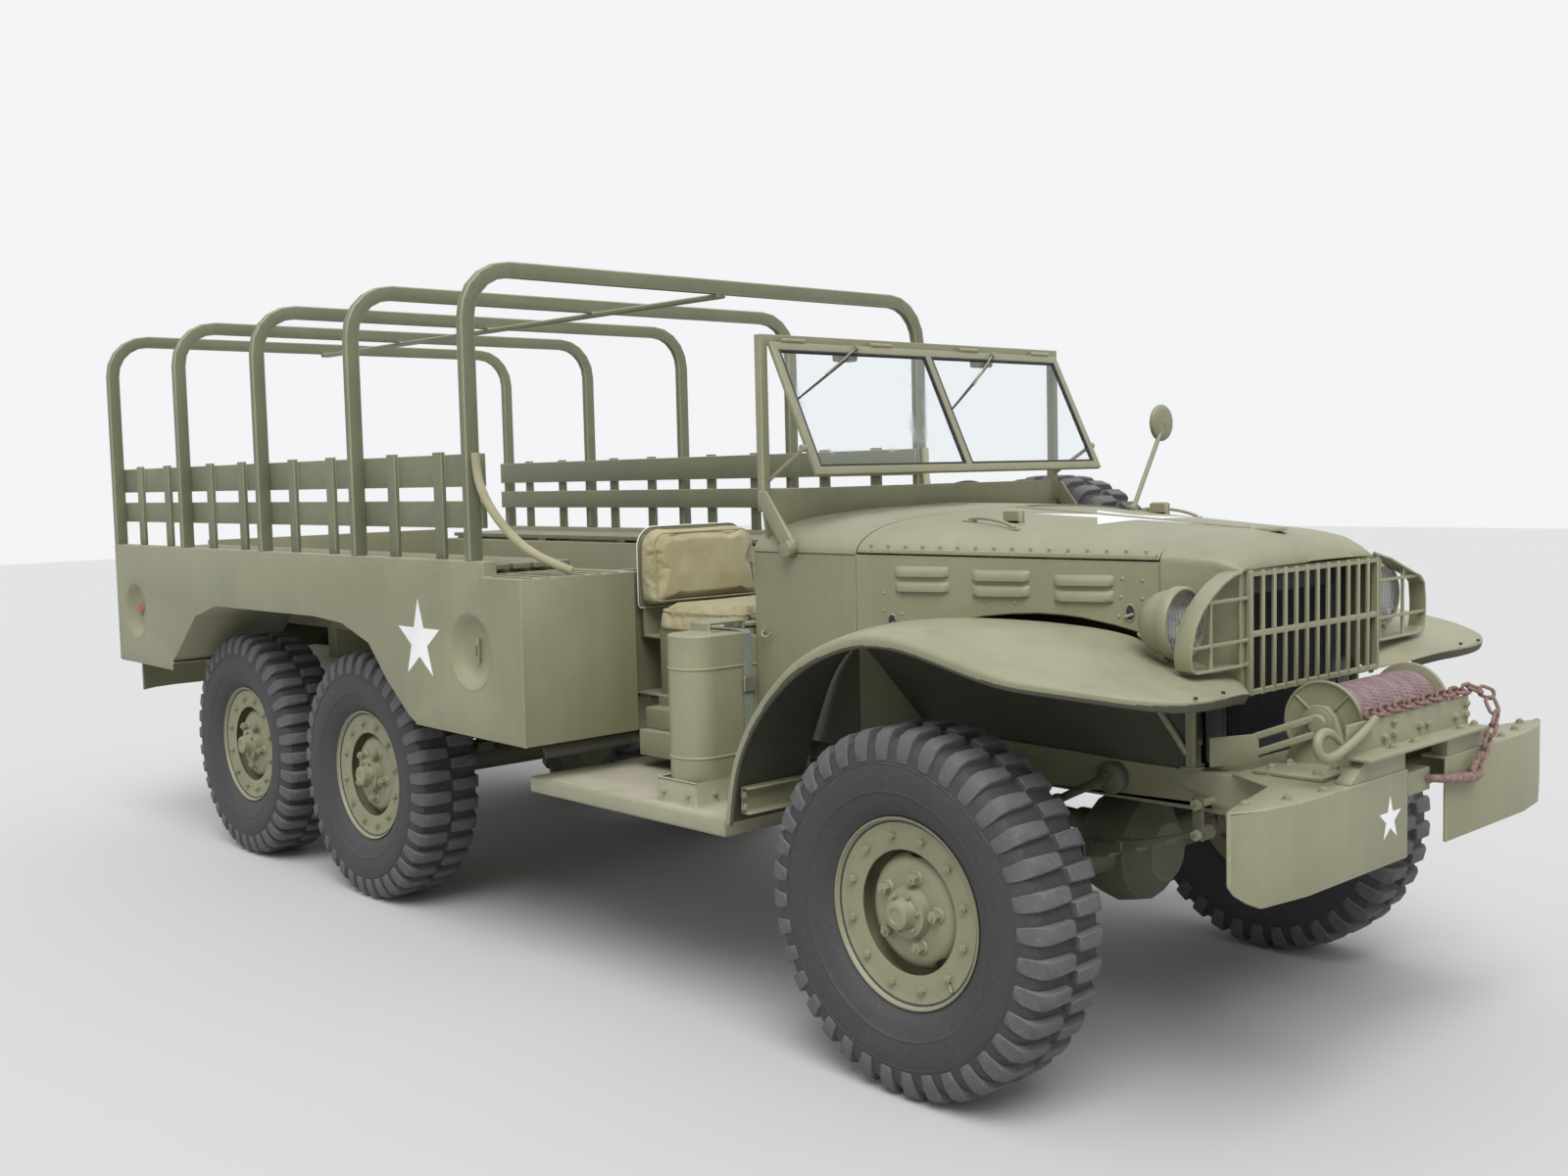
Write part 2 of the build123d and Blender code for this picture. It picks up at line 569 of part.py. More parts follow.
# Hood, nose and cowl share one cross-section, given by its half width, crown height and seam height
def hood_points(x, half, crown, seam, inset=0.0):
    return [(x, 0, crown - inset), (x, half * 0.5, crown - 0.1 * (crown - seam) - inset),
            (x, half - 75 - 0.5 * inset, seam + 0.62 * (crown - seam) - inset),
            (x, half - 18 - inset, seam + 0.3 * (crown - seam) - inset), (x, half - inset, seam)]


def hood_strip(x, half, crown, seam):
    outer = hood_points(x, half, crown, seam)
    inner = hood_points(x, half, crown, seam, panel)
    return outer + list(reversed(inner))


hinge_radius = 5.0
half_gap = hinge_radius + fit_gap
seam_gap = 5.0


def shifted(points, dy):
    return [(x, y + dy, z) for x, y, z in points]


hood_rear_end = hood_strip(hood_rear_x + seam_gap, cowl_half - half_gap, crown_z_rear, seam_z_rear)
hood_nose_end = hood_strip(nose_x - seam_gap, nose_half - half_gap, crown_z_nose, seam_z_nose)
hood_left = strip_loft([shifted(hood_rear_end, half_gap), shifted(hood_nose_end, half_gap)])
save("hood_left", hood_left)
save("hood_right", mirrored(hood_left))


def full_strip(x, half, crown, seam, low):
    # both halves with straight walls down to a lower height
    outer = hood_points(x, half, crown, seam) + [(x, half, low)]
    inner = [(x, half - panel, low)] + list(reversed(hood_points(x, half, crown, seam, panel)[:-1]))
    return outer + inner


nose_front_x = grille_x - 14.3
nose_half_shell = strip_loft([full_strip(nose_x, nose_half, crown_z_nose, seam_z_nose, seam_low_nose),
                              full_strip(2480, 352, 1336, 1281, 984),
                              full_strip(nose_front_x, 326, 1276, 1262, 955)])
hinge_rod = rod((hood_rear_x + 1, 0, crown_z_rear), (nose_x + 4, 0, crown_z_nose), hinge_radius)
save("hood_nose", joined(both_sides(nose_half_shell) + [hinge_rod]))



def panel_end(x, half, high, low):
    return [(x, half, high - seam_gap), (x, half - panel, high - seam_gap), (x, half - panel, low), (x, half, low)]


side_panel = strip_loft([panel_end(hood_rear_x + fit_gap, cowl_half, seam_z_rear, seam_low_rear),
                         panel_end(nose_x - fit_gap, nose_half, seam_z_nose, seam_low_nose)])
louvre_rows = [
    # x0, x1, upper low z, upper high z, lower low z, lower high z
    (1710, 1852, 1243, 1271, 1204, 1233),
    (1912, 2057, 1234, 1263, 1195, 1226),
    (2116, 2259, 1225, 1253, 1186, 1216)]
louvre_out = 11.0


def panel_y(x):
    return cowl_half + (nose_half - cowl_half) * (x - hood_rear_x) / (nose_x - hood_rear_x)


def louvre(x0, x1, low, high):
    # pressed-out hood over a slot, open downward
    def wedge(x):
        y = panel_y(x)
        return [(x, y - 2, low), (x, y + louvre_out, low), (x, y + louvre_out, low + 6), (x, y - 2, high)]
    return strip_loft([wedge(x0), wedge(x1)])


arch_line = [
    # x, z of the hood side's lower edge over the fender
    (1604, 1072), (1700, 1092), (1834, 1120), (1938, 1146), (2078, 1157), (2185, 1148), (2326, 1113), (2368, 1102)]
arch_cut = side_plate([(arch_line[0][0] - 1, seam_low_nose - 1)] + arch_line + [(arch_line[-1][0], seam_low_nose - 1)], 300, 700)
side_panel = side_panel - arch_cut
louvres = [louvre(x0, x1, z0, z1) for x0, x1, a0, a1, b0, b1 in louvre_rows for z0, z1 in ((a0, a1), (b0, b1))]
save("hood_sides", *both_sides(joined([side_panel] + louvres)))

cowl_shell = strip_loft([full_strip(cowl_rear_x, cowl_half, 1412, seam_z_rear, floor_z - 6),
                         full_strip(hood_rear_x, cowl_half, crown_z_rear, seam_z_rear, floor_z - 6)])
toe_board = side_plate([(1560, floor_z), (1600, floor_z), (1600, 1240), (1590, 1240), (1590, 900)], -666, 666)
dash = block(cowl_rear_x, cowl_rear_x + 8, -664, 664, 1180, 1300)
wheel_cut = side_plate([(1380, 800), (1700, 800), (1700, 1078), (1600, 1070), (1512, 985), (1440, 860)], 600, 700)
save("cowl", joined(both_sides(cowl_shell - wheel_cut) + [toe_board, dash]))

# Cab floor with its sills
floor_front = 1600.0
floor_wide = cowl_half - panel - fit_gap
floor_half_plan = [(457, floor_half), (1204, floor_half), (1204, floor_wide), (floor_front, floor_wide)]
floor_plan = floor_half_plan + [(x, -y) for x, y in reversed(floor_half_plan)]
floor = flat_plate(floor_plan, floor_z - 6, floor_z)
sills = [block(581, 1204, s * (floor_half - 24), s * floor_half, 702, floor_z - 5) for s in (1, -1)]
sills += [block(1204, 1380, s * 640, s * 664, 702, floor_z - 5) for s in (1, -1)]
sills += [block(1204, 1228, s * (floor_half - 24), s * 664, 702, floor_z - 5) for s in (1, -1)]
bearer_rows = [
    # x, half length
    (500, 540), (900, 540), (1350, 650)]
bearers = [block(x - 25, x + 25, -half, half, rail_top, floor_z - 5) for x, half in bearer_rows]
save("cab_floor", joined([floor] + sills + bearers))

# Seats
seat_front_x = 960.0
seat_inner = 80.0
seat_outer = 535.0
box_parts = [block(565, seat_front_x - 20, seat_inner + 15, seat_outer - 15, floor_z, 1030)
             - block(571, seat_front_x - 26, seat_inner + 21, seat_outer - 21, floor_z - 1, 1024)]
back_frame = side_plate([(462, 1000), (480, 1000), (480, 1330), (462, 1330)], seat_inner + 20, seat_outer - 20)
foot = block(462, 566, seat_inner + 20, seat_outer - 20, 996, 1004)
save("seat_frames", *both_sides(joined(box_parts + [back_frame, foot])))
cushion = block(565, seat_front_x, seat_inner, seat_outer, 1030.3, 1105)
back_pad = side_plate([(570, 1106), (575, 1110), (545, 1352), (480.3, 1352), (480.3, 1106)], seat_inner, seat_outer)
save("seat_pads", *both_sides(cushion), *both_sides(back_pad))

# Running boards; the left one is narrower, beside the spare wheel
board_front_x = 1367.0
board_rear_x = 437.0
board_thick = 50.0
board_low_z = running_board_z - board_thick
board_in_y = 470.0
board_ties = []
for x in (520, 880, 1300):
    board_ties.append(block(x - 20, x + 20, rail_out_y + 6, board_in_y + 10, board_low_z + 25, running_board_z - 1))
    board_ties.append(block(x - 20, x + 20, rail_out_y, rail_out_y + 7, board_low_z + 25, 720))
left_ties = joined(board_ties)
right_board = joined([block(board_rear_x, board_front_x, -950, -board_in_y, board_low_z, running_board_z), mirrored(left_ties)])
left_board = joined([block(board_rear_x, board_front_x, board_in_y, 785, board_low_z, running_board_z), left_ties])
can_x0, can_x1 = 1032.0, 1197.0
can_y0, can_y1 = -900.0, -555.0
holder = block(can_x0 - 8, can_x1 + 2.5, can_y0 - 8, can_y1 + 8, running_board_z - 2, 668)
holder = holder - block(can_x0 - fit_gap, can_x1 + fit_gap, can_y0 - fit_gap, can_y1 + fit_gap, 612, 700)
save("running_boards", joined([right_board, holder]), left_board)
can_top_z = 1075.0
can_mid = (can_x0 + can_x1) / 2
can = block(can_x0, can_x1, can_y0, can_y1, 612.3, can_top_z)
can = fillet(can.edges().filter_by(Axis.Z).sort_by(Axis.Y)[:2], 76)
can = fillet(can.edges().filter_by(Axis.Z).sort_by(Axis.Y)[-2:], 20)
can_slope = cross_plate([(can_y1 - 150, can_top_z + 1), (can_y1 + 1, can_top_z - 58), (can_y1 + 1, can_top_z + 1)],
                        can_x0 - 1, can_x1 + 1)
can_spout = Pos(can_mid, can_y1 - 62, can_top_z - 20) * Cylinder(26, 44)
handle_y0, handle_y1 = can_y0 + 90, can_y1 - 118
handle_top = can_top_z + 32
handles = [block(can_mid + dx - 6, can_mid + dx + 6, handle_y0, handle_y1, handle_top - 10, handle_top) for dx in (-38, 0, 38)]
handle_ends = [block(can_mid - 44, can_mid + 44, y, y + 10, can_top_z - 1, handle_top) for y in (handle_y0, handle_y1 - 10)]
save("fuel_can", joined([can - can_slope, can_spout] + handles + handle_ends))

# Cargo body
bow_xs = [first_bow_x - k * bow_pitch for k in range(bow_count)]
seat_x0, seat_x1 = bow_xs[-1] + 60, bow_xs[0] - 40
batten_xs = [seat_x0 + 60, seat_x0 + 800, (seat_x0 + seat_x1) / 2, seat_x1 - 800, seat_x1 - 60]
seat_hinge_xs = [batten_xs[0], batten_xs[2], batten_xs[4]]
arch_points = [
    # x, z along the wheel opening, rear to front
    (-2095, 784), (-2046, 816), (-1833, 989), (-1630, 1040), (-762, arch_top_z), (-558, 1031), (-367, 972),
    (-253, 858), (-110, 749), (-68, 731)]


def bottom_at(x):
    share = (x - body_rear_x) / (body_front_x - body_rear_x)
    return side_bottom_rear + (side_bottom_front - side_bottom_rear) * share


side_outline = ([(body_rear_x, bottom_at(body_rear_x)), (-2095, bottom_at(-2095))] + arch_points
                + [(-68, bottom_at(-68)), (body_front_x, bottom_at(body_front_x)), (body_front_x, deck_z),
                   (body_rear_x, deck_z)])
side_outline = [p for i, p in enumerate(side_outline) if i == 0 or hypot(p[0] - side_outline[i - 1][0],
                                                                      p[1] - side_outline[i - 1][1]) > 4]
side_sheet = side_plate(side_outline, body_half - sheet, body_half)
liner_in = [(x, z + sheet) for x, z in arch_points]
liner = side_plate(arch_points + list(reversed(liner_in)), bed_half - sheet, body_half - 1)
deck = block(body_rear_x, body_front_x, bed_half - sheet, body_half - 1, deck_z - sheet, deck_z)
inner_wall = block(body_rear_x, bulkhead_x + sheet, bed_half - sheet, bed_half, bed_floor_z - sheet, deck_z - 1)
front_face = block(body_front_x - sheet, body_front_x, 632, body_half - 1, side_bottom_front + 1, deck_z - 1)
front_return = block(bulkhead_x, body_front_x - 1, 626, 632, side_bottom_front + 1, deck_z - 1)
rear_face = block(body_rear_x, body_rear_x + sheet, bed_half - 1, body_half - 1, side_bottom_rear, deck_z - 1)
low_front = block(-68, body_front_x - 1, bed_half + 5, body_half - 1, side_bottom_front + 8, side_bottom_front + 14)
low_rear = block(body_rear_x + 1, -2090, bed_half, body_half - 1, side_bottom_rear + 22, side_bottom_rear + 28)
recess_places = [
    # x, z
    (287.5, 990),
    (-2482.5, 985)]
recess_radius = 120.0
recess_floor_radius = 84.0
recess_depth = 42.0
recess_sides = 16


def recess_dish(x, z):
    floor_y = body_half - recess_depth
    return turned([(floor_y + 4, 0), (floor_y + 4, recess_floor_radius), (body_half, recess_radius),
                   (body_half, recess_radius + 8), (body_half - sheet - 2, recess_radius + 8),
                   (floor_y, recess_floor_radius + 4), (floor_y, 0)], recess_sides, (x, 0, z))


for x, z in recess_places:
    cut = [(body_half - 20, 0), (body_half - 20, recess_radius + 6), (body_half + 20, recess_radius + 6), (body_half + 20, 0)]
    side_sheet = side_sheet - turned(cut, recess_sides, (x, 0, z))
dishes = [recess_dish(x, z) for x, z in recess_places]
low_wall_rear = block(body_rear_x + 1, -2060, bed_half - sheet, bed_half + 1, 774, bed_floor_z)
low_wall_front = block(-100, bulkhead_x + 6, bed_half, bed_half + 12, 730, bed_floor_z)
rail_strip = block(body_rear_x, rail_strip_front_x, body_half - rail_strip_width, body_half, deck_z - 1, rail_strip_top)
half_body = joined([side_sheet] + dishes + [liner, deck, inner_wall, front_face, front_return, rear_face, low_front,
                                            low_rear, low_wall_rear, low_wall_front, rail_strip])
bed_floor = block(body_rear_x, bulkhead_x + 1, -bed_half, bed_half, bed_floor_z - sheet, bed_floor_z)
bulkhead = block(bulkhead_x, bulkhead_x + sheet, -bed_half - 7, bed_half + 7, rail_top + 1, deck_z)
floor_bearers = [block(x - 35, x + 35, -bed_half, bed_half, rail_top, bed_floor_z - 5)
                 for x in (-2640, -2100, -1500, -900, -300, 300)]
hinge_ears = []
for x in seat_hinge_xs:
    for end in (x - seat_barrel_half - fit_gap - ear, x + seat_barrel_half + fit_gap):
        hinge_ears.append(block(end, end + ear, seat_hinge_y - 8, seat_hinge_y + 8, deck_z - 1, seat_hinge_z + 7))
    hinge_ears.append(rod((x - seat_barrel_half - ear, seat_hinge_y, seat_hinge_z),
                          (x + seat_barrel_half + ear, seat_hinge_y, seat_hinge_z), seat_pin))
for start in (gate_hinge_y - hinge_half - fit_gap - ear, gate_hinge_y + hinge_half + fit_gap):
    hinge_ears.append(rod((gate_hinge_x, start, gate_hinge_z), (gate_hinge_x, start + ear, gate_hinge_z), gate_barrel))
    hinge_ears.append(block(gate_hinge_x, body_rear_x + 1, start, start + ear, gate_hinge_z - 9, gate_hinge_z + 7))
hinge_ears.append(rod((gate_hinge_x, gate_hinge_y - hinge_half - ear, gate_hinge_z),
                      (gate_hinge_x, gate_hinge_y + hinge_half + ear, gate_hinge_z), gate_pin))
rear_bearer = block(body_rear_x, body_rear_x + 30, -bed_half, bed_half, 890, bed_floor_z - 5)
save("cargo_body", joined(both_sides(joined([half_body] + hinge_ears)) + [bed_floor, bulkhead, rear_bearer] + floor_bearers))

# Bows
def make_bow(x):
    outer = body_half
    inner = body_half - bow_depth
    steps = 5

    def corner(half, top, radius):
        pts = []
        for k in range(steps + 1):
            a = k * (pi / 2) / steps
            pts.append((half - radius + radius * cos(a), top - radius + radius * sin(a)))
        return pts

    out = [(outer, rail_strip_top)] + corner(outer, bow_top_z, bow_corner)
    ins = [(inner, rail_strip_top)] + corner(inner, bow_top_z - bow_depth, bow_corner - bow_depth)
    outline = out + [(-y, z) for y, z in reversed(out)] + [(-y, z) for y, z in ins] + list(reversed(ins))
    return cross_plate(outline, x - bow_width / 2, x + bow_width / 2)


ridge = block(bow_xs[-1] - 16, bow_xs[0] + 16, -20, 20, bow_top_z - bow_depth - 14, bow_top_z - bow_depth + 2)
save("bows", joined([make_bow(x) for x in bow_xs] + [ridge]))

# Side racks: boards inside the bows, on stakes between them
board_rows = [
    # low z, high z
    (1370, 1455),
    (1500, 1603)]
rack_in = body_half - bow_depth - slat_thick
rack_rear = bow_xs[-1] - 16
rack_front = bow_xs[0] + 16
rack_parts = [block(rack_rear, rack_front, rack_in, rack_in + slat_thick, z0, z1) for z0, z1 in board_rows]
stake_xs = [(bow_xs[k] + bow_xs[k + 1]) / 2 + dx for k in range(bow_count - 1) for dx in (-150, 150)]
rack_parts += [block(x - 27, x + 27, rack_in + slat_thick - 1, rack_in + slat_thick + 14, rail_strip_top, 1612)
               for x in stake_xs]
save("side_racks", *both_sides(joined(rack_parts)))

# Troop seats, folded down on the deck
seat_low = deck_z + fit_gap
slat_ys = [seat_in_y + k * slat_pitch for k in range(4)]
slats = [block(seat_x0, seat_x1, y, y + slat_pitch - slat_gap, seat_low + 12, seat_low + 30) for y in slat_ys]
battens = [block(x - 25, x + 25, seat_in_y, seat_out_y + 4, seat_low, seat_low + 13) for x in batten_xs]
hinge_tabs = [block(x - 20, x + 20, seat_out_y - 16, seat_hinge_y, seat_hinge_z - 4, seat_hinge_z + 4)
              for x in seat_hinge_xs]
hinge_barrels = [rod((x - seat_barrel_half, seat_hinge_y, seat_hinge_z), (x + seat_barrel_half, seat_hinge_y, seat_hinge_z),
                     seat_barrel) for x in seat_hinge_xs]
seat_bores = [rod((x - 40, seat_hinge_y, seat_hinge_z), (x + 40, seat_hinge_y, seat_hinge_z), seat_pin + fit_gap)
              for x in seat_hinge_xs]
troop_seat = joined(slats + battens + hinge_tabs + hinge_barrels) - joined(seat_bores)
save("troop_seat_left", troop_seat)
save("troop_seat_right", mirrored(troop_seat))

# Tailgate, hinged at the bed floor
gate_x = body_rear_x - 5.0
gate_half = bed_half - 8
gate_top = 1268.0
gate = joined([block(gate_x - 20, gate_x, -gate_half, gate_half, gate_hinge_z + 16, gate_top),
               block(gate_x - 32, gate_x, -gate_half, gate_half, gate_top - 40, gate_top)]
              + [block(gate_x - 32, gate_x, y - 25, y + 25, gate_hinge_z + 16, gate_top)
                 for y in (-gate_half + 25, -200, 200, gate_half - 25)])
gate_hinges, gate_straps, gate_bores = [], [], []
for y in (-gate_hinge_y, gate_hinge_y):
    gate_hinges.append(rod((gate_hinge_x, y - hinge_half, gate_hinge_z), (gate_hinge_x, y + hinge_half, gate_hinge_z),
                           gate_barrel))
    gate_straps.append(block(gate_hinge_x - 7, gate_hinge_x + 7, y - hinge_half, y + hinge_half, gate_hinge_z,
                             gate_hinge_z + 20))
    gate_bores.append(rod((gate_hinge_x, y - 60, gate_hinge_z), (gate_hinge_x, y + 60, gate_hinge_z), gate_pin + fit_gap))
save("tailgate", joined([gate] + gate_hinges + gate_straps) - joined(gate_bores))

# Bumpers
bumper_x = 2842.0
bumper_low, bumper_high = 585.0, 778.0
bumper_front = [(bumper_x, 100), (bumper_x, 560), (bumper_x - 20, 700), (bumper_x - 52, 790)]
bumper_back = [(x - 9, y) for x, y in reversed(bumper_front)]
face_plate = flat_plate(bumper_front + bumper_back, bumper_low, bumper_high)
shelf = flat_plate([(bumper_x, 100), (bumper_x, 560), (bumper_x - 20, 700), (bumper_x - 52, 790), (bumper_x - 70, 780),
                    (2700, 480), (2560, 400), (2560, 335), (2700, 335), (2775, 290), (2775, 100)], horn_top, horn_top + 8)
lip = flat_plate(bumper_front + bumper_back, bumper_high - 2, horn_top + 7)
corner_cut = cross_plate([(700, 580), (800, 580), (800, 655), (775, 620), (745, 600)], 2700, 2900)
front_bumper = joined([face_plate - corner_cut, shelf, lip])
rear_tube = [(-2857.5, 520), (-2857.5, 760), (-2830, 860), (-2780, 930), (-2771, 925), (-2821, 855), (-2848.5, 757),
             (-2848.5, 520)]
rear_plate = flat_plate(rear_tube, 590, 740)
rear_arm = block(-2849, frame_rear_x - 0.0, 540, 600, 640, 700)
rear_beam = block(-2720, frame_rear_x, 0, 640, 640, 700)
rear_tie = block(-2710, -2690, 340, 400, 640, 790)
pintle = joined([block(-2800, -2690, -30, 30, 690, 750),
                 rod((-2830, -30, 720), (-2830, 30, 720), 34) - rod((-2830, -31, 720), (-2830, 31, 720), 20)])
save("bumpers", *both_sides(front_bumper), joined(both_sides(rear_plate) + both_sides(rear_arm)
                                                  + both_sides(rear_beam) + both_sides(rear_tie) + [pintle]))

# Winch
winch_x = 2692.0
winch_z = 905.0
drum_flange_radius = 100.0
flange_y = 210.0
lip_deep = 5.0
half_drum = [(flange_y, 40), (flange_y, drum_flange_radius), (flange_y + 8 + lip_deep, drum_flange_radius),
             (flange_y + 8 + lip_deep, drum_flange_radius - 8), (flange_y + 8, drum_flange_radius - 8), (flange_y + 8, 20),
             (flange_y + 40, 20), (flange_y + 40, 0)]
drum = turned([(-y, r) for y, r in reversed(half_drum)] + half_drum, 18, (winch_x, 0, winch_z))
save("winch_drum", drum)
cable = turned([(-flange_y + 1, 40.6), (-flange_y + 1, 84), (flange_y - 1, 84), (flange_y - 1, 40.6)], 18,
               (winch_x, 0, winch_z))
save("winch_cable", cable)
bracket = side_plate([(2600, horn_top + 8.3), (2775, horn_top + 8.3), (2732, winch_z + 20), (2710, winch_z + 42),
                      (2674, winch_z + 42), (2650, winch_z + 18)], flange_y + 14, flange_y + 30)
bracket = bracket - rod((winch_x, flange_y, winch_z), (winch_x, flange_y + 50, winch_z), 20.4)
bracket_foot = block(2600, 2775, flange_y + 14, rail_out_y - 20, horn_top + 8.3, horn_top + 18)
pedestal = block(2800, bumper_x - 2, 110, 300, horn_top + 8.3, 846)
web_top_z = 925.0
beam = joined([block(2806, 2866, -336, 284, 845, 853), block(2806, 2814, -336, 284, 845, web_top_z)])
save("winch_frame", joined(both_sides(bracket) + both_sides(bracket_foot) + both_sides(pedestal) + [beam]))


# Winch chain: rows are link centres; links turn a quarter each time
def chain_link(centre, along, turned_flat):
    along = Vector(*along).normalized()
    side = Vector(0, 0, 1).cross(along)
    side = (side if side.length > 0.1 else Vector(1, 0, 0)).normalized()
    up = along.cross(side).normalized()
    if turned_flat:
        side, up = up, side
    c = Vector(*centre)

    def ring(half_long, half_wide, lift):
        return [c + along * (half_long * a) + side * (half_wide * b) + up * lift
                for a, b in ((1, 1), (-1, 1), (-1, -1), (1, -1))]

    outer = Face(Wire.make_polygon(ring(27, 17, -4.5), close=True))
    inner = Face(Wire.make_polygon(ring(18, 8, -6), close=True))
    return Solid.extrude(outer, up * 9) - Solid.extrude(inner, up * 12)


link_pitch = 36.0
chain_path = [
    # x, y, z along the beam's web, over its end and down in front of the bumper
    (2810, -225, web_top_z + 17 + fit_gap), (2810, 306, web_top_z + 17 + fit_gap), (2834, 342, 926), (2862, 334, 873),
    (2862, 312, 843), (2862, 226, 752)]
links = []
reach = 0.0
for start, end in zip(chain_path, chain_path[1:]):
    start, end = Vector(*start), Vector(*end)
    while reach < (end - start).length:
        p = start + (end - start).normalized() * reach
        links.append(chain_link((p.X, p.Y, p.Z), tuple(end - start), len(links) % 2 == 1))
        reach += link_pitch
    reach -= (end - start).length
hook = joined([bar((2861, 232, 734), (2861, 76, 748), 9, 30), bar((2861, 84, 748), (2830, 36, 752), 9, 14)])
save("winch_chain", joined(links + [hook]))

# Windshield: lower panel, posts and header, with the glass frame swung out below its top hinge
post = 26.0
panel_low = [(y, z + 1) for x, y, z in hood_points(windshield_x, cowl_half, 1412, seam_z_rear)[:4]]
panel_low = list(reversed(panel_low[1:])) + panel_low[:1]
panel_low = [(windshield_half, panel_low[0][1] + 3)] + panel_low
wind_parts = [block(windshield_x - post / 2, windshield_x + post / 2, s * windshield_half,
                    s * (windshield_half - post), 1413, windshield_top) for s in (1, -1)]
wind_parts += [block(windshield_x - post / 2, windshield_x + post / 2, -windshield_half, windshield_half,
                     windshield_top - 30, windshield_top),
               cross_plate(panel_low + [(-y, z) for y, z in reversed(panel_low[1:])]
                           + [(-windshield_half, 1476), (windshield_half, 1476)], windshield_x - 5, windshield_x + 5)]
arm = side_plate([(1378, 1300), (1376, 1330), (1262, 1470), (1230, 1470), (1230, 1440), (1336, 1292)],
                 windshield_half - 1, windshield_half + 8)
pivot = rod((1357, cowl_half + fit_gap, 1310), (1357, 700, 1310), 24)
save("windshield_frame", joined(wind_parts + both_sides(joined([arm, pivot]))))

vent_top = Vector(windshield_x + 20, 0, windshield_top - 24)
vent_drop = 415.0
vent_half = 648.0
vent_bar = 24.0


def in_vent(shape):
    return Pos(vent_top.X, 0, vent_top.Z) * Rot(0, -vent_angle, 0) * shape


vent_outer = block(-7, 7, -vent_half, vent_half, -vent_drop, 0)
vent_holes = [block(-8, 8, s * (vent_bar / 2), s * (vent_half - vent_bar), -vent_drop + vent_bar, -vent_bar)
              for s in (1, -1)]
save("vent_frame", in_vent(vent_outer - joined(vent_holes)))
panes = [block(-2.5, 2.5, s * (vent_bar / 2 + fit_gap), s * (vent_half - vent_bar - fit_gap),
               -vent_drop + vent_bar + fit_gap, -vent_bar - fit_gap) for s in (1, -1)]
save("windshield_glass", *[in_vent(p) for p in panes])

# Steering column and wheel
wheel_centre = Vector(1000, 345, 1310)
column_dir = Vector(-0.78, 0, 0.626).normalized()
column_foot = wheel_centre - column_dir * 725
column_head = wheel_centre - column_dir * (38 + fit_gap)
save("steering_column", rod((column_foot.X, 345, column_foot.Z),
                            (column_head.X, 345, column_head.Z), 22))
rim_profile = [(12 * cos(a * pi / 3), 205 + 12 * sin(a * pi / 3)) for a in range(6)]
rim = turned(rim_profile, 24, (0, 0, 0), axis=2)
hub = turned([(-38, 0), (-38, 26), (6, 30), (6, 0)], 12, (0, 0, 0), axis=2)
spokes = [Rot(0, 0, a) * bar((20, 0, 0), (198, 0, 0), 10, 6) for a in (90, 210, 330)]
steer_plane = Plane(origin=wheel_centre, x_dir=(0, 1, 0), z_dir=column_dir)
save("steering_wheel", steer_plane.location * joined([rim, hub] + spokes))

# Mirror on the left of the cowl
mirror_head = turned([(1466, 0), (1466, 60), (1482, 62), (1488, 0)], 18, (0, 950, 1660), axis=0)
mirror_foot = block(1500, 1540, cowl_half + fit_gap, cowl_half + 8, 1262, 1302)
mirror_elbow = (1515, 720, 1372)
mirror_arm = [rod((1520, cowl_half + 8, 1290), mirror_elbow, 8), rod(mirror_elbow, (1478, 948, 1640), 8)]
save("mirror", joined([mirror_foot, Pos(*mirror_elbow) * Sphere(9), mirror_head] + mirror_arm))

# Straps from the front bows to the front of the deck
strap_radius = 14.0
strap_rows = [
    # x, distance in from the body's side, z
    (322.5, 25, 1605), (323, 26, 1540), (345, 39, 1460), (395, 69, 1375), (455, 109, 1305), (515, 159, 1262),
    (560, 204, deck_z + strap_radius + 0.4)]


def make_strap(points, radius):
    pts = [Vector(*p) for p in points]
    radii = []
    for a, b, c in zip(pts, pts[1:], pts[2:]):
        turn = radians((b - a).get_angle(c - b))
        radii.append(0.45 * min((b - a).length, (c - b).length) / (sin(turn / 2) / cos(turn / 2)))
    path = FilletPolyline(*pts, radius=radii).wire()
    section = Plane(origin=path @ 0, z_dir=path % 0) * Circle(radius)
    return sweep(section, path=path)


strap = make_strap([(x, inset - body_half, z) for x, inset, z in strap_rows], strap_radius)
save("seat_straps", strap, mirrored(strap))
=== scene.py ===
import math
import random
import bpy
from mathutils import Matrix, Vector


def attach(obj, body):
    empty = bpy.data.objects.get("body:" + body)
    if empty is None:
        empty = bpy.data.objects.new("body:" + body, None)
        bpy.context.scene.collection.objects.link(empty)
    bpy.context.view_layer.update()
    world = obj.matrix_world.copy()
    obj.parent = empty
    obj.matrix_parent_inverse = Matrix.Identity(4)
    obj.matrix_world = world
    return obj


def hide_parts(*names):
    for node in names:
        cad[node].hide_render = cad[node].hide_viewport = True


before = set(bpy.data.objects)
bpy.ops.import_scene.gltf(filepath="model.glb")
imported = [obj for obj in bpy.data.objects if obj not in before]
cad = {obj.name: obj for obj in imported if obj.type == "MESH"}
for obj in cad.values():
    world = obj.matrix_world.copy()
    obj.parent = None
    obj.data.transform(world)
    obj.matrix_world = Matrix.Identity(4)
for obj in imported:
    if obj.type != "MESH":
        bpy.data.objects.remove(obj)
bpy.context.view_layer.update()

scene = bpy.context.scene
random.seed(11)
bothSides = ((1, "left"), (-1, "right"))


# camera, placed where the photograph was taken from
camera = {"place": (4.5183, -3.6229, 1.5213), "yaw": 137.28, "pitch": -4.2125, "roll": -1.335, "lens": 35.957}


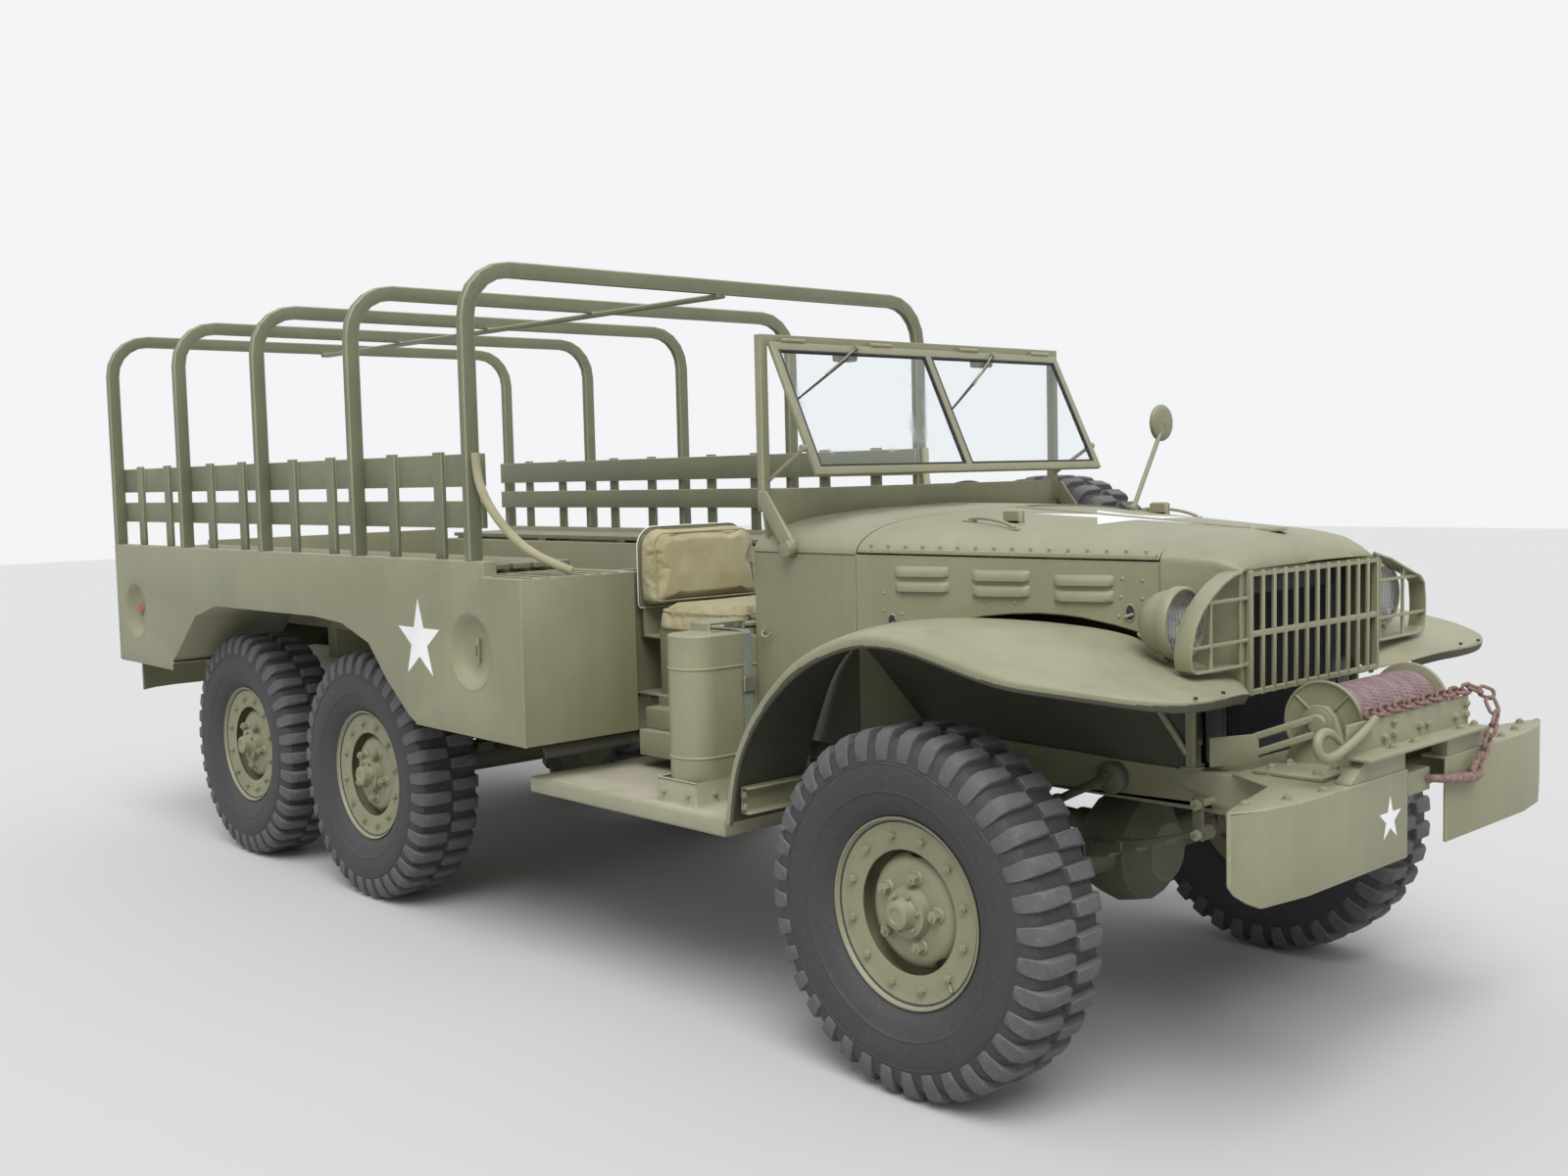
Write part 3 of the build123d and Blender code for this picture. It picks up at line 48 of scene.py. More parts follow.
def placeCamera():
    yaw, pitch, roll = (math.radians(camera[k]) for k in ("yaw", "pitch", "roll"))
    ahead = Vector((math.cos(pitch) * math.cos(yaw), math.cos(pitch) * math.sin(yaw), math.sin(pitch)))
    level = ahead.cross(Vector((0, 0, 1))).normalized()
    upright = level.cross(ahead)
    right = level * math.cos(roll) + upright * math.sin(roll)
    up = upright * math.cos(roll) - level * math.sin(roll)
    turn = Matrix((right, up, -ahead)).transposed().to_4x4()
    bpy.ops.object.camera_add(location=(0, 0, 0))
    eye = bpy.context.object
    eye.name = "photoCamera"
    eye.matrix_world = Matrix.Translation(camera["place"]) @ turn
    eye.data.lens = camera["lens"]
    eye.data.sensor_width = 36
    eye.data.clip_end = 200
    scene.camera = eye


placeCamera()
print("camera placed")


# straps from the front bow to the deck's front edge
strap = {"thick": 0.028,
         "route": [(0.3225, 1.029, 1.605), (0.323, 1.028, 1.540), (0.345, 1.015, 1.460), (0.395, 0.985, 1.375),
                   (0.455, 0.945, 1.305), (0.515, 0.895, 1.262), (0.560, 0.850, 1.2364)]}


def makeStrap(side, sideName):
    line = bpy.data.curves.new(f"strap_{sideName}", "CURVE")
    line.dimensions = "3D"
    line.bevel_depth = strap["thick"] / 2
    line.bevel_resolution = 5
    line.resolution_u = 16
    line.use_fill_caps = True
    spline = line.splines.new("NURBS")
    spline.points.add(len(strap["route"]) - 1)
    for point, (x, y, z) in zip(spline.points, strap["route"]):
        point.co = (x, side * y, z, 1)
    spline.order_u = 3
    spline.use_endpoint_u = True
    piece = bpy.data.objects.new(f"strap_{sideName}", line)
    scene.collection.objects.link(piece)
    return piece


straps = [makeStrap(side, sideName) for side, sideName in bothSides]


# everyday modelling steps
def deselect():
    if bpy.context.object and bpy.context.object.mode != "OBJECT":
        bpy.ops.object.mode_set(mode="OBJECT")
    bpy.ops.object.select_all(action="DESELECT")


def focus(*pieces):
    deselect()
    for piece in pieces:
        piece.select_set(True)
    bpy.context.view_layer.objects.active = pieces[0]


def editAll(piece):
    focus(piece)
    bpy.ops.object.mode_set(mode="EDIT")
    bpy.ops.mesh.select_mode(type="VERT")
    bpy.ops.mesh.select_all(action="SELECT")


def leaveEdit():
    bpy.ops.object.mode_set(mode="OBJECT")


def welded(piece, gap):
    editAll(piece)
    bpy.ops.mesh.remove_doubles(threshold=gap)
    leaveEdit()
    return piece


def selectFaces(piece, wanted):
    editAll(piece)
    bpy.ops.mesh.select_mode(type="FACE")
    bpy.ops.mesh.select_all(action="DESELECT")
    leaveEdit()
    for face in piece.data.polygons:
        face.select = wanted(face)
    bpy.ops.object.mode_set(mode="EDIT")


def name(piece, title):
    piece.name = title
    piece.data.name = title
    return piece


def settle(piece):
    focus(piece)
    bpy.ops.object.transform_apply(location=True, rotation=True, scale=True)
    return piece


def fixNormals(piece, weld=0.00002):
    editAll(piece)
    bpy.ops.mesh.remove_doubles(threshold=weld)
    bpy.ops.mesh.normals_make_consistent(inside=False)
    leaveEdit()
    return piece


def applyAll(piece):
    focus(piece)
    for modifier in list(piece.modifiers):
        bpy.ops.object.modifier_apply(modifier=modifier.name)
    return piece


def roundEdges(piece, width, segments, angle, wornSlot=None, clamp=True):
    rounding = piece.modifiers.new("rounding", "BEVEL")
    rounding.width = width
    rounding.segments = segments
    rounding.limit_method = "ANGLE"
    rounding.angle_limit = math.radians(angle)
    rounding.use_clamp_overlap = clamp
    if wornSlot is not None:
        rounding.material = wornSlot
    return applyAll(piece)


def smooth(piece, angle=35):
    focus(piece)
    bpy.ops.object.shade_smooth_by_angle(angle=math.radians(angle))
    return piece


def join(title, pieces):
    focus(*pieces)
    if len(pieces) > 1:
        bpy.ops.object.join()
    return name(bpy.context.object, title)


def again(piece, title, move):
    # one more of the same, with its own mesh and its place in the mesh
    copy = piece.copy()
    copy.data = piece.data.copy()
    scene.collection.objects.link(copy)
    copy.data.transform(move)
    if move.determinant() < 0:
        copy.data.flip_normals()
    return name(copy, title)


flip = Matrix.Scale(-1, 4, (0, 1, 0))


def mirrorAcross(piece, title):
    return again(piece, title, flip)


def toSide(piece, side):
    # a piece made for the left side, turned over for the right one
    if side < 0:
        piece.data.transform(flip)
        piece.data.flip_normals()
    return piece


def box(title, x0, x1, y0, y1, z0, z1):
    deselect()
    bpy.ops.mesh.primitive_cube_add(size=1, location=((x0 + x1) / 2, (y0 + y1) / 2, (z0 + z1) / 2),
                                    scale=(abs(x1 - x0), abs(y1 - y0), abs(z1 - z0)))
    return settle(name(bpy.context.object, title))


def rod(title, start, end, radius, sides=16):
    start, end = Vector(start), Vector(end)
    deselect()
    bpy.ops.mesh.primitive_cone_add(vertices=sides, radius1=radius, radius2=radius, depth=(end - start).length)
    piece = name(bpy.context.object, title)
    turn = (end - start).to_track_quat("Z", "Y").to_matrix().to_4x4()
    piece.matrix_world = Matrix.Translation((start + end) / 2) @ turn
    return settle(piece)


def traced(title, points, closed=False):
    # one point, extruded from place to place
    deselect()
    bpy.ops.mesh.primitive_plane_add(size=0.001)
    piece = name(bpy.context.object, title)
    editAll(piece)
    bpy.ops.mesh.merge(type="CENTER")
    bpy.ops.transform.translate(value=Vector(points[0]))
    stops = list(points) + ([points[0]] if closed else [])
    for a, b in zip(stops, stops[1:]):
        bpy.ops.mesh.extrude_region_move(TRANSFORM_OT_translate={"value": Vector(b) - Vector(a)})
    bpy.ops.mesh.select_all(action="SELECT")
    bpy.ops.mesh.remove_doubles(threshold=0.00001)
    leaveEdit()
    return piece


def plate(title, points, depth):
    # a closed outline, filled and extruded
    piece = traced(title, points, closed=True)
    editAll(piece)
    bpy.ops.mesh.edge_face_add()
    bpy.ops.mesh.extrude_region_move(TRANSFORM_OT_translate={"value": Vector(depth)})
    bpy.ops.mesh.select_all(action="SELECT")
    bpy.ops.mesh.normals_make_consistent(inside=False)
    leaveEdit()
    return piece


def spun(title, profile, centre, steps=48, axis=(0, 1, 0)):
    # profile of (along the axis, radius), spun round the axis through the centre
    axis = Vector(axis).normalized()
    side = Vector((0, 0, 1)) if abs(axis.z) < 0.9 else Vector((1, 0, 0))
    side = (side - axis * side.dot(axis)).normalized()
    points = [axis * along + side * radius for along, radius in profile]
    piece = traced(title, points)
    editAll(piece)
    bpy.ops.mesh.spin(steps=steps, angle=2 * math.pi, center=(0, 0, 0), axis=axis)
    bpy.ops.mesh.select_all(action="SELECT")
    bpy.ops.mesh.remove_doubles(threshold=0.00005)
    bpy.ops.mesh.normals_make_consistent(inside=False)
    leaveEdit()
    piece.data.transform(Matrix.Translation(centre))
    return piece


def bridged(title, sections, closed=False):
    # each section traced as a line, neighbours bridged
    rows = [traced(f"{title}{k}", section, closed=closed) for k, section in enumerate(sections)]
    count = len(sections[0])
    piece = join(title, rows)
    for k in range(len(sections) - 1):
        editAll(piece)
        bpy.ops.mesh.select_all(action="DESELECT")
        leaveEdit()
        for vertex in piece.data.vertices[k * count:(k + 2) * count]:
            vertex.select = True
        bpy.ops.object.mode_set(mode="EDIT")
        bpy.ops.mesh.select_mode(type="VERT")
        bpy.ops.mesh.bridge_edge_loops()
        leaveEdit()
    return piece


# shaders: one group for each effect, placed in the materials with their own values
def socket(tree, title, kind, isInput=True, value=None):
    made = tree.interface.new_socket(name=title, in_out="INPUT" if isInput else "OUTPUT", socket_type=kind)
    if value is not None:
        made.default_value = value
    return made


def put(tree, kind, links=None, **settings):
    node = tree.nodes.new(kind)
    for key, value in settings.items():
        setattr(node, key, value)
    for key, value in (links or {}).items():
        if isinstance(value, bpy.types.NodeSocket):
            tree.links.new(value, node.inputs[key])
        else:
            node.inputs[key].default_value = value
    return node


def noiseOf(tree, where, scale, detail=3.0, rough=0.55):
    return put(tree, "ShaderNodeTexNoise", {"Vector": where, "Scale": scale, "Detail": detail,
                                            "Roughness": rough}).outputs["Fac"]


def ranged(tree, value, low, high, outLow=0.0, outHigh=1.0):
    return put(tree, "ShaderNodeMapRange", {"Value": value, "From Min": low, "From Max": high, "To Min": outLow,
                                            "To Max": outHigh}).outputs["Result"]


def sums(tree, kind, a, b):
    return put(tree, "ShaderNodeMath", {0: a, 1: b}, operation=kind).outputs[0]


def blended(tree, amount, a, b, kind="MIX"):
    return put(tree, "ShaderNodeMix", {0: amount, 6: a, 7: b}, data_type="RGBA", blend_type=kind).outputs[2]


def scaled(tree, where, amounts):
    return put(tree, "ShaderNodeMapping", {"Vector": where, "Scale": amounts}).outputs[0]


def startGroup(title, colors, amounts):
    # a group's tree, what it is given, and the place on the piece; all groups give the same three results
    tree = bpy.data.node_groups.new(title, "ShaderNodeTree")
    for label, value in colors:
        socket(tree, label, "NodeSocketColor", value=(*value, 1))
    for label, value in amounts:
        socket(tree, label, "NodeSocketFloat", value=value)
    socket(tree, "Color", "NodeSocketColor", isInput=False)
    for label in ("Roughness", "Height"):
        socket(tree, label, "NodeSocketFloat", isInput=False)
    return tree, put(tree, "NodeGroupInput").outputs, put(tree, "ShaderNodeTexCoord").outputs["Object"]


def makeWeathering():
    # paint that has faded in patches, with rubbed spots, faint runs and dust on what faces up
    tree, given, where = startGroup(
        "weathering", (("Paint", (0.2, 0.2, 0.1)), ("Rubbed", (0.3, 0.3, 0.2)), ("Dust", (0.5, 0.45, 0.35))),
        (("Wear", 0.2), ("Dust Amount", 0.3), ("Gloss", 0.45), ("Grain", 1.0)))
    facing = put(tree, "ShaderNodeSeparateXYZ", {0: put(tree,
                                                        "ShaderNodeNewGeometry").outputs["Normal"]}).outputs["Z"]
    patches = noiseOf(tree, where, 3.1, 5, 0.6)
    broad = noiseOf(tree, where, 0.9, 2)
    runs = noiseOf(tree, scaled(tree, where, (26, 26, 1.6)), 1.0, 3)
    specks = noiseOf(tree, where, 70, 6, 0.7)
    peel = noiseOf(tree, where, 420, 2)
    shade = sums(tree, "ADD", ranged(tree, patches, 0.3, 0.7, 0.90, 1.07),
                 ranged(tree, broad, 0.35, 0.65, -0.05, 0.05))
    shade = sums(tree, "ADD", shade, ranged(tree, runs, 0.35, 0.7, 0.02, -0.035))
    tint = put(tree, "ShaderNodeVectorMath", {0: given["Paint"], "Scale": shade}, operation="SCALE").outputs[0]
    spots = sums(tree, "MULTIPLY", ranged(tree, specks, 0.56, 0.68), given["Wear"])
    rubbed = blended(tree, spots, tint, given["Rubbed"])
    lying = ranged(tree, facing, 0.25, 0.95)
    drift = sums(tree, "MULTIPLY", lying, ranged(tree, noiseOf(tree, where, 7, 6, 0.65), 0.3, 0.75, 0.35, 1.0))
    veil = sums(tree, "MULTIPLY", sums(tree, "ADD", drift, ranged(tree, patches, 0.5, 0.75, 0.0, 0.16)),
                given["Dust Amount"])
    dusty = blended(tree, veil, rubbed, given["Dust"])
    gloss = sums(tree, "ADD", given["Gloss"], ranged(tree, patches, 0.3, 0.7, -0.05, 0.07))
    gloss = sums(tree, "ADD", gloss, sums(tree, "MULTIPLY", veil, 0.35))
    height = sums(tree, "MULTIPLY", sums(tree, "ADD", peel, sums(tree, "MULTIPLY", patches, 2.0)), given["Grain"])
    height = sums(tree, "SUBTRACT", height, sums(tree, "MULTIPLY", spots, 0.6))
    put(tree, "NodeGroupOutput", {"Color": dusty, "Roughness": gloss, "Height": height})
    return tree


def makeWeave():
    # crossed threads in the piece's own space, with worn and stained patches
    tree, given, where = startGroup("weave", (("Thread", (0.4, 0.33, 0.2)), ("Worn", (0.55, 0.5, 0.4))),
                                    (("Threads", 420.0),))
    parts = put(tree, "ShaderNodeSeparateXYZ", {0: where}).outputs
    along = sums(tree, "MULTIPLY", sums(tree, "ADD", parts["X"], parts["Z"]), given["Threads"])
    across = sums(tree, "MULTIPLY", parts["Y"], given["Threads"])
    warp = sums(tree, "SINE", sums(tree, "MULTIPLY", along, 6.283), 0.0)
    weft = sums(tree, "SINE", sums(tree, "MULTIPLY", across, 6.283), 0.0)
    thread = sums(tree, "ADD", sums(tree, "MULTIPLY", sums(tree, "MULTIPLY", warp, weft), 0.5), 0.5)
    patches = noiseOf(tree, where, 9, 5, 0.6)
    slub = noiseOf(tree, scaled(tree, where, (60, 700, 60)), 1.0, 3)
    tone = sums(tree, "ADD", ranged(tree, thread, 0, 1, 0.86, 1.06), ranged(tree, slub, 0.3, 0.7, -0.07, 0.07))
    colored = put(tree, "ShaderNodeVectorMath", {0: given["Thread"], "Scale": tone}, operation="SCALE").outputs[0]
    put(tree, "NodeGroupOutput",
        {"Color": blended(tree, ranged(tree, patches, 0.42, 0.75, 0.0, 0.75), colored, given["Worn"]),
         "Roughness": ranged(tree, patches, 0.2, 0.8, 0.86, 0.98),
         "Height": sums(tree, "ADD", thread, sums(tree, "MULTIPLY", slub, 0.8))})
    return tree


def makeCrust():
    # rust in two tones with pits
    tree, given, where = startGroup("crust", (("Dark", (0.1, 0.05, 0.04)), ("Light", (0.3, 0.18, 0.14))),
                                    (("Scale", 40.0),))
    flakes = noiseOf(tree, where, given["Scale"], 8, 0.7)
    pits = noiseOf(tree, where, sums(tree, "MULTIPLY", given["Scale"], 6.0), 4, 0.6)
    put(tree, "NodeGroupOutput",
        {"Color": blended(tree, ranged(tree, flakes, 0.35, 0.68), given["Dark"], given["Light"]),
         "Roughness": ranged(tree, flakes, 0.3, 0.7, 0.62, 0.9),
         "Height": sums(tree, "ADD", flakes, sums(tree, "MULTIPLY", pits, 0.5))})
    return tree


groups = {"weathering": makeWeathering(), "weave": makeWeave(), "crust": makeCrust()}


def finish(title, group, values, depth=0.0004, strength=0.6, **fixed):
    # a shader whose colour, roughness and bump come from one of the groups
    material = bpy.data.materials.new(title)
    material.use_nodes = True
    tree = material.node_tree
    tree.nodes.clear()
    effect = put(tree, "ShaderNodeGroup", node_tree=groups[group])
    for key, value in values.items():
        effect.inputs[key].default_value = value
    bump = put(tree, "ShaderNodeBump", {"Height": effect.outputs["Height"], "Distance": depth, "Strength": strength})
    shader = put(tree, "ShaderNodeBsdfPrincipled", {"Base Color": effect.outputs["Color"],
                                                    "Roughness": effect.outputs["Roughness"],
                                                    "Normal": bump.outputs[0]})
    for key, value in fixed.items():
        shader.inputs[key.replace("_", " ")].default_value = value
    put(tree, "ShaderNodeOutputMaterial", {"Surface": shader.outputs[0]})
    return material


def paintFinish(title, paint, rubbed, dust, wear, lying, gloss, grain=1.0, depth=0.0004, **fixed):
    values = {"Paint": (*paint, 1), "Rubbed": (*rubbed, 1), "Dust": (*dust, 1), "Wear": wear, "Dust Amount": lying,
              "Gloss": gloss, "Grain": grain}
    return finish(title, "weathering", values, depth, **fixed)


def weaveFinish(title, thread, worn, threads, depth=0.0006, strength=0.7, **fixed):
    return finish(title, "weave", {"Thread": (*thread, 1), "Worn": (*worn, 1), "Threads": threads}, depth, strength,
                  Specular_IOR_Level=0.2, **fixed)


dustTone = (0.47, 0.44, 0.34)
rubbedOlive = (0.36, 0.35, 0.25)
materials = {
    # title, paint, rubbed spots, dust, wear, dust amount, gloss, grain, bump depth
    "paint": paintFinish("olivePaint", (0.238, 0.232, 0.142), rubbedOlive, dustTone, 0.16, 0.34, 0.44),
    "edge": paintFinish("rubbedEdge", (0.27, 0.265, 0.17), (0.40, 0.39, 0.30), dustTone, 0.75, 0.30, 0.46),
    "dusty": paintFinish("treadPlatePaint", (0.29, 0.28, 0.19), rubbedOlive, (0.50, 0.46, 0.37), 0.5, 0.85, 0.55),
    "boards": paintFinish("paintedBoard", (0.165, 0.170, 0.105), (0.26, 0.25, 0.17), dustTone, 0.3, 0.3, 0.55, 2.5),
    # chassis olive, darkened for dirt and as painted shade under the truck; its edges likewise
    "chassisDirtAndShade": paintFinish("chassisPaintDirtAndShade", (0.105, 0.103, 0.070), (0.16, 0.14, 0.10), (0.22, 0.19, 0.14),
                           0.5, 0.5, 0.6),
    "chassisEdgeDirtAndShade": paintFinish("chassisEdgeDirtAndShade", (0.135, 0.132, 0.092), (0.20, 0.18, 0.14), (0.24, 0.21, 0.16),
                               0.7, 0.5, 0.58),
    "rubber": paintFinish("tyreRubber", (0.043, 0.042, 0.045), (0.095, 0.090, 0.092), (0.20, 0.18, 0.155),
                          0.45, 0.25, 0.66, 1.6, 0.0006),
    "tread": paintFinish("wornTread", (0.098, 0.095, 0.102), (0.17, 0.16, 0.16), (0.26, 0.235, 0.21),
                         0.7, 0.4, 0.7, 2.0, 0.0008),
    # painted shade: a darker olive that stands for the shade under the fenders and behind them
    "underside": paintFinish("shadedUnderside", (0.062, 0.061, 0.042), (0.10, 0.09, 0.07), (0.14, 0.12, 0.09),
                             0.4, 0.3, 0.7),
    "star": paintFinish("starWhite", (0.83, 0.83, 0.83), (0.62, 0.61, 0.55), (0.6, 0.57, 0.5), 0.25, 0.08, 0.5),
    "steel": paintFinish("dullSteel", (0.42, 0.41, 0.38), (0.6, 0.58, 0.54), dustTone, 0.4, 0.1, 0.34, Metallic=0.85),
    "black": paintFinish("blackRubber", (0.025, 0.025, 0.026), (0.06, 0.06, 0.06), (0.15, 0.14, 0.12), 0.3, 0.2, 0.5),
    # title, thread, worn thread, threads, bump depth and strength
    "canvas": weaveFinish("seatCanvas", (0.385, 0.340, 0.192), (0.47, 0.430, 0.29), 330.0, 0.0005, 0.5,
                          Sheen_Weight=0.25, Sheen_Roughness=0.5),
    "webbing": weaveFinish("strapWebbing", (0.36, 0.33, 0.20), (0.47, 0.44, 0.31), 300.0, Sheen_Weight=0.2),
    "greyWeb": weaveFinish("greyWebbing", (0.20, 0.23, 0.19), (0.30, 0.33, 0.28), 300.0, Sheen_Weight=0.2),
    "rust": finish("chainRust", "crust", {"Dark": (0.13, 0.072, 0.058, 1), "Light": (0.32, 0.205, 0.175, 1),
                                          "Scale": 70.0}, depth=0.0008),
}


def plainMaterial(title):
    # a material with its tree and shader, and the place on the piece
    material = bpy.data.materials.new(title)
    material.use_nodes = True
    tree = material.node_tree
    return material, tree, tree.nodes["Principled BSDF"], put(tree, "ShaderNodeTexCoord").outputs["Object"]


def glassMaterial(title, color, rough, ripples):
    material, tree, shader, where = plainMaterial(title)
    shader.inputs["Base Color"].default_value = color
    shader.inputs["Roughness"].default_value = rough
    shader.inputs["Transmission Weight"].default_value = 1.0
    shader.inputs["IOR"].default_value = 1.45
    smears = noiseOf(tree, where, 12, 4, 0.6)
    tree.links.new(ranged(tree, smears, 0.45, 0.8, rough, rough + 0.10), shader.inputs["Roughness"])
    if ripples:
        height = put(tree, "ShaderNodeTexWave", {"Vector": where, "Scale": ripples, "Distortion": 0.5},
                     bands_direction="Y").outputs["Fac"]
        tree.links.new(put(tree, "ShaderNodeBump", {"Height": height, "Distance": 0.002, "Strength": 0.6}).outputs[0],
                       shader.inputs["Normal"])
    return material


materials["glass"] = glassMaterial("windshieldPane", (0.93, 0.97, 0.98, 1), 0.01, 0)
materials["lens"] = glassMaterial("headlampLens", (0.97, 0.98, 1.0, 1), 0.03, 28)


def mirrorMaterial():
    material, tree, shader, where = plainMaterial("mirrorSilver")
    shader.inputs["Metallic"].default_value = 1.0
    haze = noiseOf(tree, where, 30, 4, 0.6)
    tree.links.new(ranged(tree, haze, 0.4, 0.8, 0.04, 0.16), shader.inputs["Roughness"])
    tree.links.new(blended(tree, ranged(tree, haze, 0.5, 0.9, 0, 0.5), (0.86, 0.87, 0.88, 1), (0.62, 0.6, 0.55, 1)),
                   shader.inputs["Base Color"])
    return material


materials["mirror"] = mirrorMaterial()


def reflectorMaterial():
    material, tree, shader, where = plainMaterial("redReflector")
    cells = put(tree, "ShaderNodeTexVoronoi", {"Vector": where, "Scale": 260.0}).outputs["Distance"]
    tree.links.new(blended(tree, ranged(tree, cells, 0.0, 0.6), (0.62, 0.03, 0.02, 1), (0.30, 0.01, 0.01, 1)),
                   shader.inputs["Base Color"])
    tree.links.new(ranged(tree, cells, 0, 0.7, 0.12, 0.3), shader.inputs["Roughness"])
    shader.inputs["Coat Weight"].default_value = 0.6
    return material


materials["reflector"] = reflectorMaterial()


def dress(piece, *finishes):
    piece.data.materials.clear()
    for key in finishes:
        piece.data.materials.append(materials[key])
    return piece


def softened(piece, width, segments=2, finishes=("paint", "edge")):
    roundEdges(dress(piece, *finishes), width, segments, 30, wornSlot=1)
    return smooth(piece)


def place(piece, body="truck", replaces=()):
    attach(piece, body)
    if replaces:
        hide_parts(*replaces)
    return piece


for piece, (side, sideName) in zip(straps, bothSides):
    dress(piece, "webbing")
    place(piece, "truck", ["seat_straps"])

# the panes are the one CAD node that stays in view
for paneSlot in cad["windshield_glass"].material_slots:
    paneSlot.material = materials["glass"]
print("finishes ready")


# studio: pale floor, soft light all round and a broad lamp overhead
studio = {"floor": (0.56, 0.56, 0.55, 1), "sky": (0.84, 0.86, 0.90, 1), "skyLight": 0.92, "lamp": 2.3}


def makeStudio():
    deselect()
    bpy.ops.mesh.primitive_plane_add(size=60, location=(0, 0, 0))
    floor = name(bpy.context.object, "studioFloor")
    material, tree, shader, where = plainMaterial("studioFloor")
    tone = ranged(tree, noiseOf(tree, where, 3, 4), 0.3, 0.7, 0.0, 0.06)
    tree.links.new(blended(tree, tone, studio["floor"], (0.52, 0.52, 0.51, 1)), shader.inputs["Base Color"])
    shader.inputs["Roughness"].default_value = 0.85
    floor.data.materials.append(material)
    world = bpy.data.worlds.new("studioSky")
    scene.world = world
    world.use_nodes = True
    tree = world.node_tree
    tree.nodes.clear()
    height = put(tree, "ShaderNodeSeparateXYZ", {0: put(tree,
                                                        "ShaderNodeTexCoord").outputs["Generated"]}).outputs["Z"]
    glow = blended(tree, ranged(tree, height, -0.1, 0.7), (0.62, 0.62, 0.60, 1), studio["sky"])
    lit = put(tree, "ShaderNodeBackground", {"Color": glow, "Strength": studio["skyLight"]})
    seen = put(tree, "ShaderNodeBackground", {"Color": (0.90, 0.91, 0.92, 1), "Strength": 1.0})
    path = put(tree, "ShaderNodeLightPath").outputs
    direct = sums(tree, "MAXIMUM", path["Is Camera Ray"], path["Is Transmission Ray"])
    direct = sums(tree, "MAXIMUM", direct, sums(tree, "MULTIPLY", path["Is Glossy Ray"], 0.7))
    mixed = put(tree, "ShaderNodeMixShader", {0: direct, 1: lit.outputs[0], 2: seen.outputs[0]})
    put(tree, "ShaderNodeOutputWorld", {"Surface": mixed.outputs[0]})
    bpy.ops.object.light_add(type="SUN", location=(2, -4, 6))
    lamp = bpy.context.object
    lamp.name = "broadLamp"
    lamp.data.energy = studio["lamp"]
    lamp.data.angle = math.radians(40)
    lamp.rotation_euler = Vector((0.44, -0.38, 0.82)).to_track_quat("Z", "Y").to_euler()
    scene.view_settings.view_transform = "Standard"


makeStudio()
print("studio ready")

# wheels: rim with its bolted ring, dished disc, drum and hub, all copies of one
wheel = {"steps": 72, "nutCircle": 0.187, "nuts": 12, "lugCircle": 0.088, "lugs": 5, "flangeCircle": 0.047,
         "handHoles": 5, "holeCircle": 0.144, "track": 0.822, "spare": (1.042, 0.925, 1.036), "tyreLugs": 36}
wheelPlaces = [(1.9775, "front"), (-0.6895, "middle"), (-1.7055, "rear")]
axleHeight = 0.454


def hexBolt(title, across, height, sides=6):
    # head with a chamfer and a shank end standing proud, pointing along +Y from the origin
    deselect()
    bpy.ops.mesh.primitive_cylinder_add(vertices=sides, radius=across / 2, depth=height, location=(0, height / 2, 0),
                                        rotation=(-math.pi / 2, 0, 0))
    piece = settle(name(bpy.context.object, title))
    selectFaces(piece, lambda face: face.normal.y > 0.9)
    bpy.ops.mesh.inset(thickness=across * 0.07, depth=across * 0.05)
    bpy.ops.mesh.inset(thickness=across * 0.16, depth=0)
    bpy.ops.mesh.extrude_region_move(TRANSFORM_OT_translate={"value": (0, height * 0.28, 0)})
    leaveEdit()
    return piece


def bolts(title, model, spots):
    # spots of (place, the way it points)
    made = []
    for k, (where, way) in enumerate(spots):
        turn = Vector(way).to_track_quat("Y", "Z").to_matrix().to_4x4()
        spinRound = Matrix.Rotation(random.random() * math.pi, 4, "Y")
        made.append(again(model, f"{title}{k}", Matrix.Translation(where) @ turn @ spinRound))
    return join(title, made)


def dropped(piece):
    bpy.data.objects.remove(piece)


def ringSpots(count, radius, along, start=0.0):
    return [((radius * math.sin(start + 2 * math.pi * k / count), along,
              radius * math.cos(start + 2 * math.pi * k / count)),
             (0, 1, 0)) for k in range(count)]


